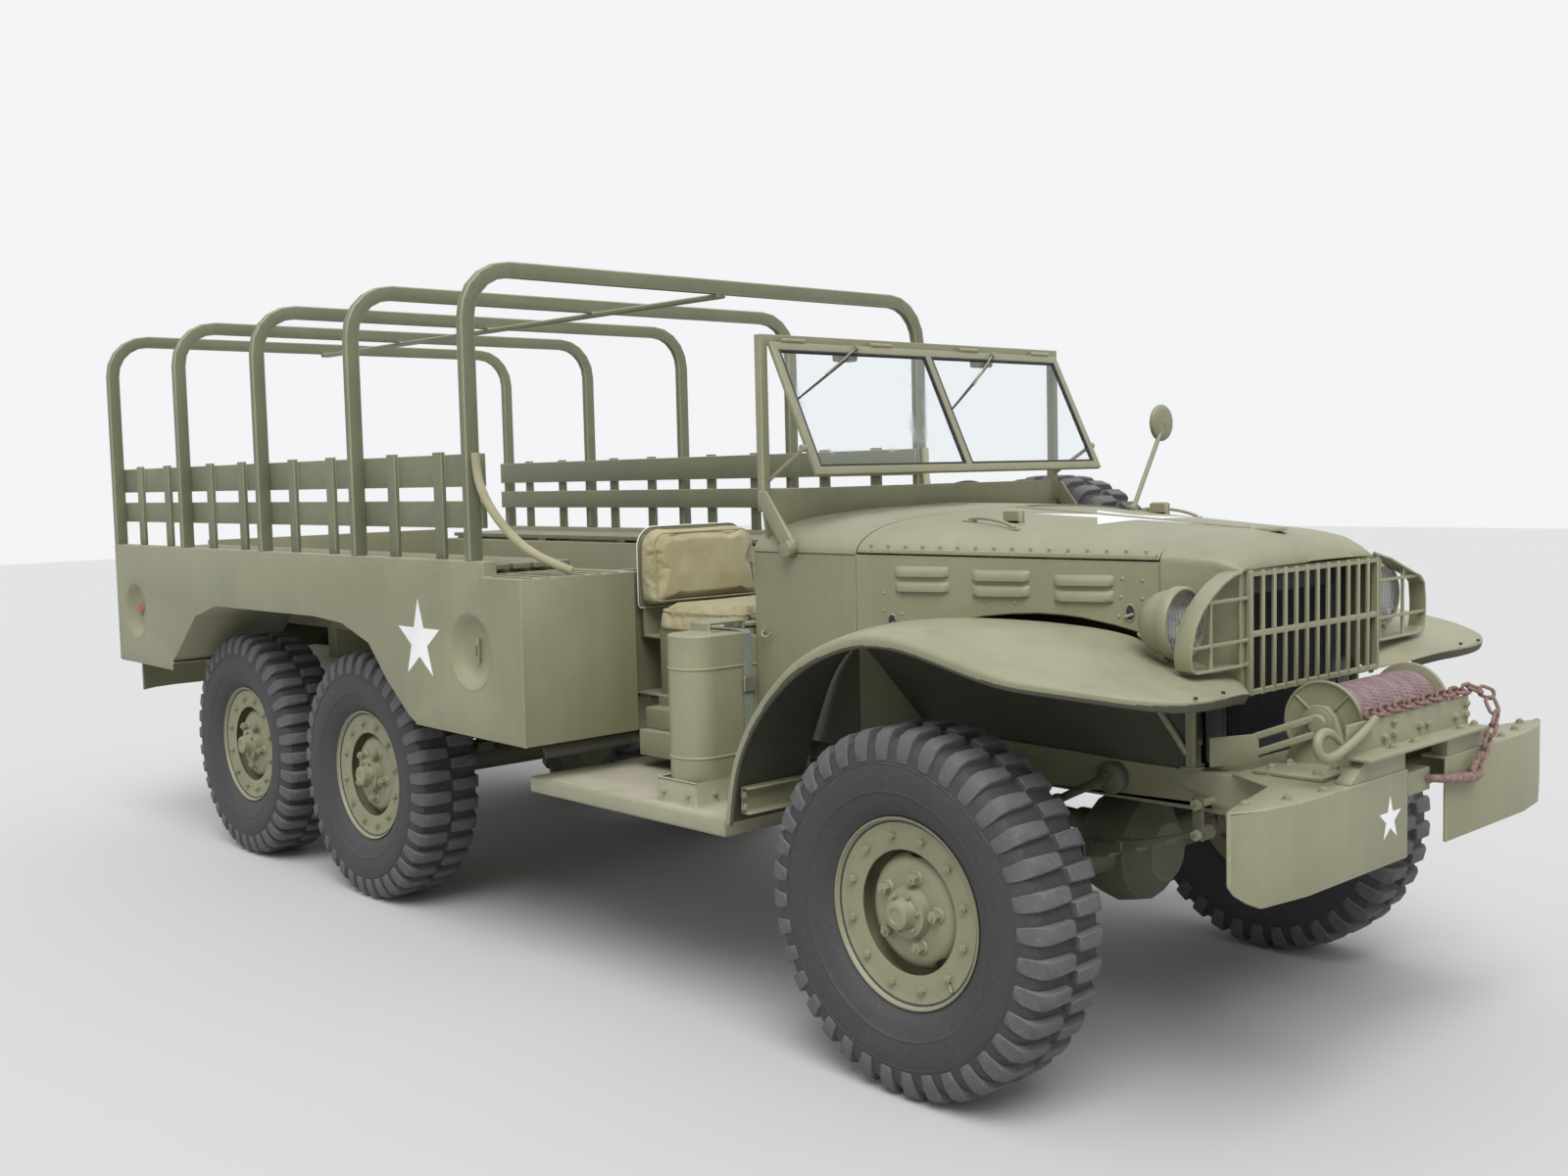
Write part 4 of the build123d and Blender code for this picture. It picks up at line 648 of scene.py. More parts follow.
def makeWheel():
    rim = spun("rim", [(0.0860, 0.2360), (0.0895, 0.2345), (0.0895, 0.2312), (0.0800, 0.2262), (0.0745, 0.2205),
                       (0.0735, 0.1575), (0.0712, 0.1530), (0.0680, 0.1530), (0.0665, 0.1570), (0.0665, 0.1955),
                       (-0.0760, 0.1955), (-0.0820, 0.2040), (-0.0860, 0.2300), (-0.0895, 0.2345), (-0.0860, 0.2360),
                       (-0.0805, 0.2320), (-0.0745, 0.2060), (0.0745, 0.2060), (0.0805, 0.2320),
                       (0.0860, 0.2360)], (0, 0, 0), wheel["steps"])
    disc = spun("disc", [(0.0605, 0.040), (0.0605, 0.100), (0.0590, 0.114), (0.0530, 0.128), (0.0410, 0.1395),
                         (0.0250, 0.1455), (0.0060, 0.1475), (0.0010, 0.1510), (0.0000, 0.1965), (-0.0060, 0.1965),
                         (-0.0055, 0.1490), (0.0050, 0.1420), (0.0240, 0.1395), (0.0370, 0.1345), (0.0480, 0.1245),
                         (0.0535, 0.1120), (0.0550, 0.100), (0.0550, 0.040),
                         (0.0605, 0.040)], (0, 0, 0), wheel["steps"])
    cutters = []
    for k in range(wheel["handHoles"]):
        a = math.radians(6) + 2 * math.pi * k / wheel["handHoles"]
        deselect()
        bpy.ops.mesh.primitive_cylinder_add(vertices=20, radius=1, depth=0.14, rotation=(math.pi / 2, 0, 0))
        hole = settle(name(bpy.context.object, "handHole"))
        hole.data.transform(Matrix.Diagonal((0.034, 1, 0.0125, 1)))
        hole.data.transform(Matrix.Rotation(a, 4, "Y") @ Matrix.Translation((0, 0.02, wheel["holeCircle"])))
        cutters.append(hole)
    cutter = join("handHoles", cutters)
    cut = disc.modifiers.new("handHoles", "BOOLEAN")
    cut.object = cutter
    cut.operation = "DIFFERENCE"
    cut.solver = "EXACT"
    applyAll(disc)
    dropped(cutter)
    drum = spun("drum", [(0.0300, 0), (0.0300, 0.128), (0.0200, 0.150), (-0.0290, 0.152), (-0.0340, 0.1655),
                         (-0.0380, 0.1655), (-0.0380, 0.0340), (-0.0100, 0.0340), (-0.0100, 0)], (0, 0, 0), 48)
    hub = spun("hub", [(0.0604, 0), (0.0604, 0.066), (0.0700, 0.064), (0.0760, 0.0615), (0.0840, 0.0605),
                       (0.0850, 0.0590), (0.0855, 0.0400), (0.0900, 0.0372), (0.1080, 0.0355), (0.1155, 0.0340),
                       (0.1178, 0.0310), (0.1178, 0.0190), (0.1150, 0.0175), (0.1150, 0)], (0, 0, 0), 40)
    smallNut = hexBolt("ringNut", 0.0205, 0.0110)
    ringNuts = bolts("ringNuts", smallNut, ringSpots(wheel["nuts"], wheel["nutCircle"], 0.0735, 0.13))
    lugNut = hexBolt("lugNut", 0.0300, 0.0190)
    lugSeat = spun("lugSeat", [(0.0600, 0.0), (0.0600, 0.0215), (0.0640, 0.0200), (0.0670, 0.0165), (0.0670, 0)],
                   (0, 0, 0), 16)
    lugNuts = bolts("lugNuts", lugNut, ringSpots(wheel["lugs"], wheel["lugCircle"], 0.0660, 0.3))
    seats = [again(lugSeat, "lugSeats", Matrix.Translation((p[0], 0, p[2])))
             for p, way in ringSpots(wheel["lugs"], wheel["lugCircle"], 0, 0.3)]
    flangeBolt = hexBolt("flangeBolt", 0.0125, 0.0075)
    flangeBolts = bolts("flangeBolts", flangeBolt, ringSpots(6, wheel["flangeCircle"], 0.0850, 0.2))
    for part in (smallNut, lugNut, lugSeat, flangeBolt):
        dropped(part)
    valve = rod("valve", (0.162, 0.070, 0.060), (0.205, 0.082, 0.076), 0.0035, 10)
    # the drum in the darker chassis olive: dirt and painted shade
    dress(rim, "paint", "edge"), dress(disc, "paint", "edge"), dress(drum, "chassisDirtAndShade"), dress(hub, "paint", "edge")
    for part in [ringNuts, lugNuts, flangeBolts, valve] + seats:
        dress(part, "paint", "edge")
    roundEdges(disc, 0.0015, 1, 40, wornSlot=1)
    whole = join("wheelModel", [rim, disc, drum, hub, ringNuts, lugNuts, flangeBolts, valve] + seats)
    return smooth(whole, 38)


def makeTyre():
    half = [(0.0735, 0.2065), (0.0790, 0.2240), (0.0850, 0.2400), (0.0960, 0.2500), (0.1080, 0.2680),
            (0.1165, 0.2900), (0.1190, 0.2985), (0.1212, 0.3005), (0.1215, 0.3030), (0.1205, 0.3050),
            (0.1238, 0.3200), (0.1250, 0.3420), (0.1238, 0.3640), (0.1228, 0.3668), (0.1242, 0.3680),
            (0.1240, 0.3700), (0.1222, 0.3715), (0.1190, 0.3950),
            (0.1120, 0.4150), (0.0990, 0.4290), (0.0780, 0.4335), (0.0400, 0.4350), (0.0, 0.4355)]
    profile = half + [(-y, r) for y, r in reversed(half[:-1])] + [half[0]]
    casing = spun("casing", profile, (0, 0, 0), 96)
    # one lug, from near the middle over the shoulder and down the side
    outline = [(0.006, 0.428), (0.006, 0.4535), (0.050, 0.4535), (0.090, 0.4520), (0.1120, 0.4370), (0.1215, 0.4060),
               (0.1252, 0.3800), (0.1225, 0.3730), (0.1120, 0.3900), (0.0900, 0.4200)]
    lug = plate("lug", [(-0.0225, y, r) for y, r in outline], (0.045, 0, 0))
    for vertex in lug.data.vertices:      # narrower at the top and where it fades into the side
        if vertex.co.z > 0.44:
            vertex.co.x *= 0.86
        elif vertex.co.z < 0.382 and vertex.co.y > 0.1:
            vertex.co.x *= 0.72
        if vertex.co.y < 0.03:
            vertex.co.x *= 0.90
    roundEdges(lug, 0.0035, 1, 30)
    otherLug = mirrorAcross(lug, "otherLug")
    step = 2 * math.pi / wheel["tyreLugs"]
    made = []
    for k in range(wheel["tyreLugs"]):
        made.append(again(lug, f"lug{k}", Matrix.Rotation(k * step, 4, "Y")))
        made.append(again(otherLug, f"lugs{k}", Matrix.Rotation((k + 0.5) * step, 4, "Y")))
    dropped(lug)
    dropped(otherLug)
    dress(casing, "rubber", "tread")
    for part in made:
        dress(part, "tread")
    return smooth(join("tyreModel", [casing] + made), 34)


wheelModel = makeWheel()
tyreModel = makeTyre()
for (x, where) in wheelPlaces:
    for side, sideName in bothSides:
        move = Matrix.Translation((x, side * wheel["track"], axleHeight))
        spinBy = Matrix.Rotation(random.random() * 6.28, 4, "Y")
        turned = move @ (Matrix.Identity(4) if side == 1 else flip)
        piece = again(wheelModel, f"detailed_wheel_{where}_{sideName}", turned @ spinBy)
        place(piece, f"wheel_{where}_{sideName}", [f"wheel_{where}_{sideName}"])
        rubber = again(tyreModel, f"treaded_tyre_{where}_{sideName}", turned @ Matrix.Rotation(0.4 * x, 4, "Y"))
        place(rubber, f"wheel_{where}_{sideName}", [f"tyre_{where}_{sideName}"])
spareMove = Matrix.Translation(wheel["spare"])
place(again(wheelModel, "detailed_spare_wheel", spareMove), "truck", ["spare_wheel"])
place(again(tyreModel, "treaded_spare_tyre", spareMove), "truck", ["spare_tyre"])
dropped(wheelModel)
dropped(tyreModel)
print("wheels and tyres made")

# outline of a lamp guard's hoop as built (|y|, z), and as it stands on either side
hoopBuilt = [(0.345, 1.277), (0.400, 1.275), (0.465, 1.260), (0.520, 1.236), (0.571, 1.203), (0.607, 1.162),
             (0.627, 1.118), (0.628, 1.083), (0.615, 1.050), (0.580, 1.040), (0.345, 1.038)]
hoopStands = {-1: [(0.345, 1.266), (0.385, 1.260), (0.432, 1.242), (0.476, 1.217), (0.518, 1.186), (0.547, 1.150),
                   (0.562, 1.110), (0.567, 1.077), (0.561, 1.050), (0.540, 1.040), (0.345, 1.038)],
              1: [(0.345, 1.268), (0.395, 1.258), (0.460, 1.236), (0.520, 1.216), (0.571, 1.200), (0.592, 1.180),
                  (0.599, 1.130), (0.598, 1.083), (0.590, 1.052), (0.565, 1.040), (0.345, 1.038)]}


def bentHoop(co):
    # the nearest outline point's way from where it was built to where it stands
    side = 1 if co.y > 0 else -1
    if abs(co.y) < 0.335:
        return co
    if 0.469 < abs(co.y) < 0.479 and co.z > 1.240:      # the upright rod's top
        return Vector((co.x, co.y, co.z - (0.0385 if side < 0 else 0.025)))
    for z, inRight, inLeft in ((1.200, 0.0755, 0.012), (1.100, 0.0645, 0.029)):      # the level rods' ends
        if abs(co.z - z) < 0.0055 and abs(co.y) > 0.500 and 2.5445 < co.x < 2.5545:
            return Vector((co.x, co.y - side * (inRight if side < 0 else inLeft), co.z))
    away = [math.hypot(abs(co.y) - y, co.z - z) for y, z in hoopBuilt]
    k = away.index(min(away))
    if abs(co.y) < 0.500 and away[k] > 0.012:       # where the rods cross
        return co
    moved = [hoopStands[side][k][j] - hoopBuilt[k][j] for j in (0, 1)]
    return Vector((co.x, co.y + side * moved[0], co.z + moved[1]))


# painted sheet metal and castings: the node's own mesh, merged, with rounded and rubbed edges
def softCopy(nodeName, title, width, body="truck", segments=2, angle=32, finishes=("paint", "edge")):
    deselect()
    piece = cad[nodeName].copy()
    piece.data = cad[nodeName].data.copy()
    scene.collection.objects.link(piece)
    name(piece, title)
    for key in list(piece.keys()):
        del piece[key]
    if nodeName == "cargo_body":      # the painted star and the bolts stand out from it, inside the body's width
        for vertex in piece.data.vertices:
            if abs(vertex.co.y) > 1.0532:
                vertex.co.y = math.copysign(1.0530, vertex.co.y)
    if nodeName == "grille_guard":      # the bars between the outer two are thin strips
        for vertex in piece.data.vertices:
            if abs(vertex.co.y) < 0.300 and vertex.co.x < 2.547:
                vertex.co.x += 0.0085
            vertex.co = bentHoop(vertex.co)
    editAll(piece)
    bpy.ops.mesh.remove_doubles(threshold=0.00003)
    bpy.ops.mesh.tris_convert_to_quads(face_threshold=math.radians(0.5), shape_threshold=math.radians(60))
    leaveEdit()
    dress(piece, *finishes)
    roundEdges(piece, width, segments, angle, len(finishes) - 1, clamp=False)
    smooth(piece, 38)
    return place(piece, body, [nodeName])


softRows = [
    # node, title, edge radius
    ("frame", "chassis_rails", 0.003), ("bumpers", "bumper_plates", 0.004), ("cargo_body", "steel_body", 0.0025),
    ("winch_frame", "winch_brackets", 0.002), ("windshield_frame", "windshield_surround", 0.002),
    ("vent_frame", "glass_frame", 0.002), ("grille_guard", "radiator_guard", 0.0015),
    ("cab_floor", "floor_and_sills", 0.002), ("seat_frames", "seat_boxes", 0.002),
    ("spare_carrier", "spare_carrier_arm", 0.003),
    ("fuel_tank", "rear_fuel_tank", 0.020), ("tailgate", "rear_gate", 0.002), ("bows", "cover_bows", 0.005),
    ("side_racks", "rack_boards", 0.002), ("troop_seat_left", "slatted_seat_left", 0.002),
    ("troop_seat_right", "slatted_seat_right", 0.002)]
softBodies = {"tailgate": "tailgate", "troop_seat_left": "troop_seat_left", "troop_seat_right": "troop_seat_right"}
boarded = ("bows", "side_racks", "troop_seat_left", "troop_seat_right")
for nodeName, title, width in softRows:
    softCopy(nodeName, title, width, softBodies.get(nodeName, "truck"),
             finishes=("boards", "edge") if nodeName in boarded else ("paint", "edge"))
print("sheet metal rounded")


# hood, nose and cowl: one rounded section carried along the truck
hood = {"seam": 1.6035, "nose": 2.3670, "gap": 0.003, "sideGap": 0.005}
hoodStations = [
    # x, half width, crown, side seam
    (1.2005, 0.670, 1.412, 1.306), (1.6035, 0.670, 1.405, 1.306), (2.3670, 0.400, 1.350, 1.290),
    (2.4200, 0.377, 1.346, 1.287), (2.4800, 0.352, 1.334, 1.281), (2.5150, 0.337, 1.313, 1.273),
    (2.5350, 0.329, 1.290, 1.266), (2.5425, 0.3265, 1.271, 1.261)]


def stationAt(x):
    for a, b in zip(hoodStations, hoodStations[1:]):
        if x <= b[0] + 1e-6:
            t = max((x - a[0]) / (b[0] - a[0]), 0)
            return [a[k] + (b[k] - a[k]) * t for k in (1, 2, 3)]
    return list(hoodStations[-1][1:])


def hoodDrop(t):
    # share of the way from crown to seam: nearly flat on top, round at the shoulder
    return 0.32 * t ** 2 + 0.68 * (1 - (1 - min(t, 1.0) ** 7.5) ** 0.60)


def hoodLine(x, side, steps=16, start=0.0):
    half, crown, seam = stationAt(x)
    row = []
    for k in range(steps + 1):
        t = start / half + (1 - start / half) * (1 - (1 - k / steps) ** 1.7)
        row.append(Vector((x, side * half * t, crown - (crown - seam) * hoodDrop(t))))
    return row


def outwards(piece, inside):
    # an open sheet turned so that it faces away from a point inside
    out = sum(face.area * face.normal.dot(face.center - Vector(inside)) for face in piece.data.polygons)
    if out < 0:
        piece.data.flip_normals()
    return piece


def walled(piece, thickness):
    wall = piece.modifiers.new("wall", "SOLIDIFY")
    wall.thickness = thickness
    wall.offset = -1
    return applyAll(piece)


def sheet(piece, inside, thickness, edge, segments=1, finishes=("paint", "edge")):
    # an open surface given its wall, with rounded and rubbed rims
    walled(outwards(piece, inside), thickness)
    roundEdges(dress(piece, *finishes), edge, segments, 58, wornSlot=1)
    return smooth(piece, 42)


def between(a, b, count):
    return [a + (b - a) * k / (count - 1) for k in range(count)]


def makeHoodHalf(side, sideName):
    sections = [hoodLine(x, side, start=0.0055)
                for x in between(hood["seam"] + hood["gap"], hood["nose"] - hood["gap"], 6)]
    panel = sheet(bridged(f"hoodSkin{sideName}", sections), (1.9, side * 0.1, 1.0), 0.0035, 0.001)
    x0, x1 = hood["seam"] + 0.01, hood["nose"] - 0.008
    strip = []
    for x in (x0, x1):      # folded strip along the lower edge
        half, crown, seam = stationAt(x)
        strip.append([Vector((x, side * (half + out), seam + up)) for out, up in
                      ((-0.001, 0.0005), (0.0040, 0.0005), (0.0052, 0.0040), (0.0040, 0.0110), (-0.0030, 0.0125))])
    bead = dress(fixNormals(bridged(f"bead{sideName}", strip, closed=True)), "edge")
    rivets = []
    for x in between(1.645, 2.334, 16):
        half, crown, seam = stationAt(x)
        normal = Vector((0.33, side, 0.25)).normalized()
        rivets.append((Vector((x, side * (half - 0.0012), seam + 0.0215)), normal))
    rivetRow = bolts(f"hoodRivets{sideName}", rivet, rivets)
    whole = join(f"hood_panel_{sideName}", [panel, smooth(bead, 40), rivetRow])
    return place(whole, f"hood_{sideName}", [f"hood_{sideName}"])


def makeRivet(title, radius=0.005, height=0.0028):
    piece = spun(title, [(-0.0012, radius), (0.0, radius), (height * 0.45, radius * 0.86),
                         (height * 0.85, radius * 0.5), (height, 0)],
                 (0, 0, 0), 10)
    return smooth(dress(piece, "edge"), 60)


rivet = makeRivet("rivet")
for side, sideName in bothSides:
    makeHoodHalf(side, sideName)


def makeNose():
    sides = []
    for side, sideName in bothSides:
        sections = []
        for x in (2.3672, 2.40, 2.44, 2.48, 2.515, 2.535, 2.5425):
            row = hoodLine(x, side)
            half, crown, seam = stationAt(x)
            low = 1.028 + (0.955 - 1.028) * (x - 2.367) / 0.176
            row += [Vector((x, side * (half + bulge), seam + (low - seam) * t))
                    for t, bulge in ((0.03, 0.0006), (0.25, 0), (0.6, 0), (1, 0))]
            sections.append(row)
        front = [Vector((2.5395, point.y * 0.955, 1.258 + (point.z - 1.258) * 0.9)) for point in sections[-1][:17]]
        front += [Vector((2.5395, point.y * 0.955, point.z)) for point in sections[-1][17:]]
        sections.append(front)
        sides.append(bridged(f"noseSide{sideName}", sections))
    shell = join("noseShell", sides)
    welded(shell, 0.0001)
    sheet(shell, (2.4, 0, 1.1), 0.004, 0.0012)
    cap = spun("fillerLid", [(0, 0.040), (0.006, 0.040), (0.0085, 0.038), (0.010, 0.034), (0.011, 0)],
               (2.4300, 0, 1.3440), 40, (-0.03, 0, 1))
    smooth(dress(cap, "paint"), 40)
    rods = [rod("hingeRod", (1.606, 0, 1.4050), (2.369, 0, 1.3500), 0.0048, 12)]
    knuckles = []
    for k in range(12):
        t0 = (k + 0.04) / 12
        a = Vector((1.610, 0, 1.4047)).lerp(Vector((2.362, 0, 1.3505)), t0)
        b = Vector((1.610, 0, 1.4047)).lerp(Vector((2.362, 0, 1.3505)), t0 + 0.92 / 12)
        knuckles.append(rod("hingeKnuckle", a, b, 0.0054, 12))
    hinge = smooth(dress(join("hinge", rods + knuckles), "edge"), 40)
    return place(join("hood_nose_cap", [shell, cap, hinge]), "truck", ["hood_nose"])


makeNose()


def makeCowl():
    lowAt = [(1.2005, 0.815), (1.30, 0.815), (1.414, 0.815), (1.44, 0.860), (1.476, 0.925), (1.512, 0.985),
             (1.56, 1.035), (1.6025, 1.070)]
    sides = []
    for side, sideName in bothSides:
        sections = []
        for x, low in lowAt:
            row = hoodLine(x, side)
            seam = row[-1].z
            row += [Vector((x, side * 0.6705, seam - 0.006))]
            row += [Vector((x, side * 0.670, seam - 0.012 + (low - seam + 0.012) * t))
                    for t in (0.0, 0.25, 0.5, 0.75, 1.0)]
            sections.append(row)
        sides.append(bridged(f"cowlSide{sideName}", sections))
    shell = join("cowlShell", sides)
    welded(shell, 0.0001)
    sheet(shell, (1.4, 0, 1.0), 0.005, 0.0015, 2)
    toe = plate("toeBoard", [(1.560, -0.662, 0.821), (1.600, -0.662, 0.821), (1.600, -0.662, 1.240),
                             (1.590, -0.662, 1.240), (1.590, -0.662, 0.900)], (0, 1.324, 0))
    dash = box("dashPanel", 1.2005, 1.2085, -0.662, 0.662, 1.180, 1.300)
    for part in (toe, dash):
        softened(part, 0.003)
    return place(join("cowl_and_dash", [shell, toe, dash]), "truck", ["cowl"])


makeCowl()


sidePanel = {"arch": [(1.604, 1.072), (1.700, 1.092), (1.770, 1.106), (1.834, 1.120), (1.885, 1.134), (1.938, 1.146),
                      (2.010, 1.154), (2.078, 1.157), (2.135, 1.154), (2.185, 1.148), (2.260, 1.132), (2.326, 1.113),
                      (2.366, 1.102)],
             "louvres": [(1.710, 1.852, 1.243, 1.271, 1.204, 1.233), (1.912, 2.057, 1.234, 1.263, 1.195, 1.226),
                         (2.116, 2.259, 1.225, 1.253, 1.186, 1.216)],
             "rivets": [(1.678, 1.199), (1.677, 1.153), (1.728, 1.196), (1.726, 1.146), (1.943, 1.182),
                        (2.019, 1.180), (2.279, 1.244), (2.326, 1.240), (2.276, 1.199), (2.325, 1.196),
                        (2.271, 1.151), (2.321, 1.150)],
             "latches": [(1.700, 1.124), (2.297, 1.161)]}


def onSide(x, z, side, out=0.0):
    # a place on the hood's side panel, and a little out from it
    lean = Vector((0.27, 0.7635, 0)).normalized()
    y = 0.670 + (0.400 - 0.670) * (x - 1.6035) / 0.7635
    return Vector((x + lean.x * out, side * (y + lean.y * out), z))


def makeLouvre(title, x0, x1, low, high, side):
    # pressed-out scoop with rounded ends, open below
    stations = [(0.0, 0.0), (0.035, 0.55), (0.09, 0.90), (0.16, 1.0), (0.84, 1.0), (0.91, 0.90), (0.965, 0.55),
                (1.0, 0.0)]
    sections = []
    for t, rise in stations:
        x = x0 + (x1 - x0) * t
        tall = high - low
        sections.append([onSide(x, low + tall * (1 - v) if v else high, side, out) for v, out in
                         ((0, -0.0012), (0.16, 0.0005 + 0.0045 * rise), (0.40, 0.0008 + 0.0092 * rise),
                          (0.72, 0.0008 + 0.0112 * rise), (0.97, 0.0005 + 0.0112 * rise),
                          (1.0, 0.0003 + 0.0090 * rise))])
    piece = outwards(bridged(title, sections), onSide((x0 + x1) / 2, (low + high) / 2, side, -0.3))
    walled(piece, 0.0018)
    return smooth(dress(piece, "paint"), 60)


def makeSides(side, sideName):
    sections = []
    for x, low in sidePanel["arch"]:
        top = stationAt(x)[2] - hood["sideGap"]
        row = [onSide(x, top, side, -0.006), onSide(x, top, side, 0)]
        row += [onSide(x, top + (low - top) * t, side) for t in (0.2, 0.5, 0.8, 0.97)]
        row += [onSide(x, low, side, 0.0), onSide(x, low - 0.003, side, -0.003), onSide(x, low - 0.002, side, -0.012)]
        sections.append(row)
    skin = sheet(bridged(f"sideSkin{sideName}", sections), (1.95, 0, 1.15), 0.0030, 0.0008)
    parts = [skin]
    for k, (x0, x1, a0, a1, b0, b1) in enumerate(sidePanel["louvres"]):
        parts.append(makeLouvre(f"louvreHigh{k}{sideName}", x0, x1, a0, a1, side))
        parts.append(makeLouvre(f"louvreLow{k}{sideName}", x0, x1, b0, b1, side))
    lean = Vector((0.3334, side * 0.9428, 0))
    parts.append(bolts(f"sideRivets{sideName}", rivet, [(onSide(x, z, side), lean) for x, z in sidePanel["rivets"]]))
    for k, (x, z) in enumerate(sidePanel["latches"]):
        # oval hole with a raised rim, and the spring pin in it; the hole is a black disc, painted shade
        rim = spun("latchRim", [(0.0, 0.0135), (0.0028, 0.0150), (0.0028, 0.0170), (0.0, 0.0185)], (0, 0, 0), 24)
        hole = spun("latchHole", [(0.0006, 0.0), (0.0006, 0.0142), (-0.001, 0.0142), (-0.001, 0.0)], (0, 0, 0), 24)
        for part in (rim, hole):
            part.data.transform(Matrix.Diagonal((0.72, 1, 1.25, 1)))
        pin = rod("latchPin", (-0.009, 0.004, -0.003), (0.012, 0.006, -0.010), 0.0042, 12)
        dress(rim, "edge"), dress(hole, "black"), dress(pin, "edge")
        latch = smooth(join(f"latch{k}", [rim, hole, pin]), 40)
        turn = lean.to_track_quat("Y", "Z").to_matrix().to_4x4()
        latch.data.transform(Matrix.Translation(onSide(x, z, side, 0.0008)) @ turn)
        parts.append(latch)
    return join(f"hood_side_{sideName}", parts)


sidesMade = [makeSides(side, sideName) for side, sideName in bothSides]
place(join("hood_side_panels", sidesMade), "truck", ["hood_sides"])
dropped(rivet)
print("hood and cowl made")


# front fenders: stations of an outer and an inner edge, with a crown between and a rolled lip
fenderRows = [
    # outer x, y, z, inner x, y, z, crown in millimetres
    (1389, 970, 590, 1389, 690, 590, 0), (1410, 970, 723, 1412, 690, 725, 0), (1454, 970, 828, 1464, 684, 850, 1),
    (1536, 970, 934, 1512, 674, 985, 6), (1634, 970, 1019, 1603, 671, 1075, 14),
    (1745, 970, 1084, 1740, 623, 1125, 20), (1918, 970, 1138, 1910, 563, 1137, 22),
    (2080, 968, 1118, 2060, 510, 1140, 20), (2292, 965, 1060, 2230, 449.5, 1124, 14),
    (2400, 945, 1051, 2310, 421, 1106, 10), (2510, 900, 1040, 2385, 393.5, 1072, 6),
    (2590, 850, 1027, 2440, 370, 1050, 2), (2635, 795, 1017, 2475, 355, 1033, 1),
    (2657, 730, 1009, 2502, 344, 1023, 1), (2660, 650, 1006, 2524, 335, 1012, 2),
    (2657, 570, 1004, 2540, 328, 1000, 2), (2645, 490, 1000, 2552, 323, 985, 2), (2610, 400, 985, 2560, 319, 968, 1)]


def fenderSection(k, side):
    row = [v / 1000 for v in fenderRows[k]]
    before = [v / 1000 for v in fenderRows[max(k - 1, 0)]]
    after = [v / 1000 for v in fenderRows[min(k + 1, len(fenderRows) - 1)]]
    outer, inner = Vector(row[:3]), Vector(row[3:6])
    along = Vector(after[:3]) + Vector(after[3:6]) - Vector(before[:3]) - Vector(before[3:6])
    across = (outer - inner).normalized()
    normal = across.cross(along.normalized()).normalized()
    if (normal.z < 0 and k > 2) or (normal.x > 0 and k <= 2):
        normal = -normal
    points = []
    for t in (0.0, 0.12, 0.30, 0.55, 0.78, 0.92, 0.975):
        points.append(inner + (outer - inner) * t + normal * (row[6] * math.sin(math.pi * min(t / 1.1, 1.0)) ** 0.8))
    points += [outer - normal * 0.003 - across * 0.001, outer - normal * 0.010, outer - normal * 0.021,
               outer - normal * 0.0275 - across * 0.003, outer - normal * 0.0275 - across * 0.012]
    return [Vector((p.x, side * p.y, p.z)) for p in points]


def makeFender(side, sideName):
    piece = bridged(f"fenderSkin{sideName}", [fenderSection(k, side) for k in range(len(fenderRows))])
    outwards(piece, (2.0, side * 0.8, 0.7))
    walled(piece, 0.0035)
    curve = piece.modifiers.new("smoothness", "SUBSURF")
    curve.levels = curve.render_levels = 2
    applyAll(piece)
    dress(piece, "paint", "underside")
    # faces turned down or towards the wheel take the darker olive: painted shade
    for face in piece.data.polygons:
        if face.normal.z < -0.15 or (face.center.x < 1.60 and face.normal.x > 0.15):
            face.material_index = 1
    return smooth(piece, 50)


fenders = [makeFender(side, sideName) for side, sideName in bothSides]
splashRows = [(1.607, 0.6638, 1.080, 0.8003), (1.800, 0.5953, 1.118, 0.8003), (2.050, 0.5069, 1.122, 0.7943),
              (2.300, 0.418, 1.094, 0.7883), (2.362, 0.396, 1.072, 0.7883), (2.456, 0.3625, 1.040, 0.7883)]
for side, sideName in bothSides:
    rows = [[Vector((x, side * y, z)), Vector((x, side * (y * 0.5 + 0.388 * 0.5), z * 0.5 + foot * 0.5)),
             Vector((x, side * 0.388, foot))]
            for x, y, z, foot in splashRows]
    # the splash sheets inside the fenders in the darker olive: painted shade
    fenders.append(sheet(bridged(f"splash{sideName}", rows), (2.0, side * 0.9, 0.5), 0.003, 0.0008,
                         finishes=("underside", "underside")))
    # the cowl's shield and ledge: sheets in the darker olive behind the fender, painted shade
    shield = plate("cowlShield", [(x, side * 0.6635, z)
                                  for x, z in ((1.416, 0.818), (1.440, 0.862), (1.476, 0.928), (1.512, 0.988),
                                                                     (1.560, 1.038), (1.6025, 1.073), (1.6025, 0.786),
                                                                     (1.416, 0.786))],
                   (0, side * 0.0035, 0))
    ledge = box("cowlLedge", 1.416, 1.6055, side * 0.404, side * 0.667, 0.7825, 0.7860)
    for part in (shield, ledge):
        fenders.append(smooth(dress(part, "underside", "underside")))
    post = box("fenderStay", 2.437, 2.461, side * 0.394, side * 0.406, 0.788, 1.030)
    slant = rod("slantStay", (2.439, side * 0.400, 0.826), (2.270, side * 0.400, 1.040), 0.009, 8)
    foot = box("stayFoot", 2.425, 2.473, side * 0.375, side * 0.412, 0.788, 0.796)
    for part in (post, slant, foot):
        fenders.append(softened(part, 0.0015, 1))
place(join("flowing_fenders", fenders), "truck", ["front_fenders"])
print("fenders made")

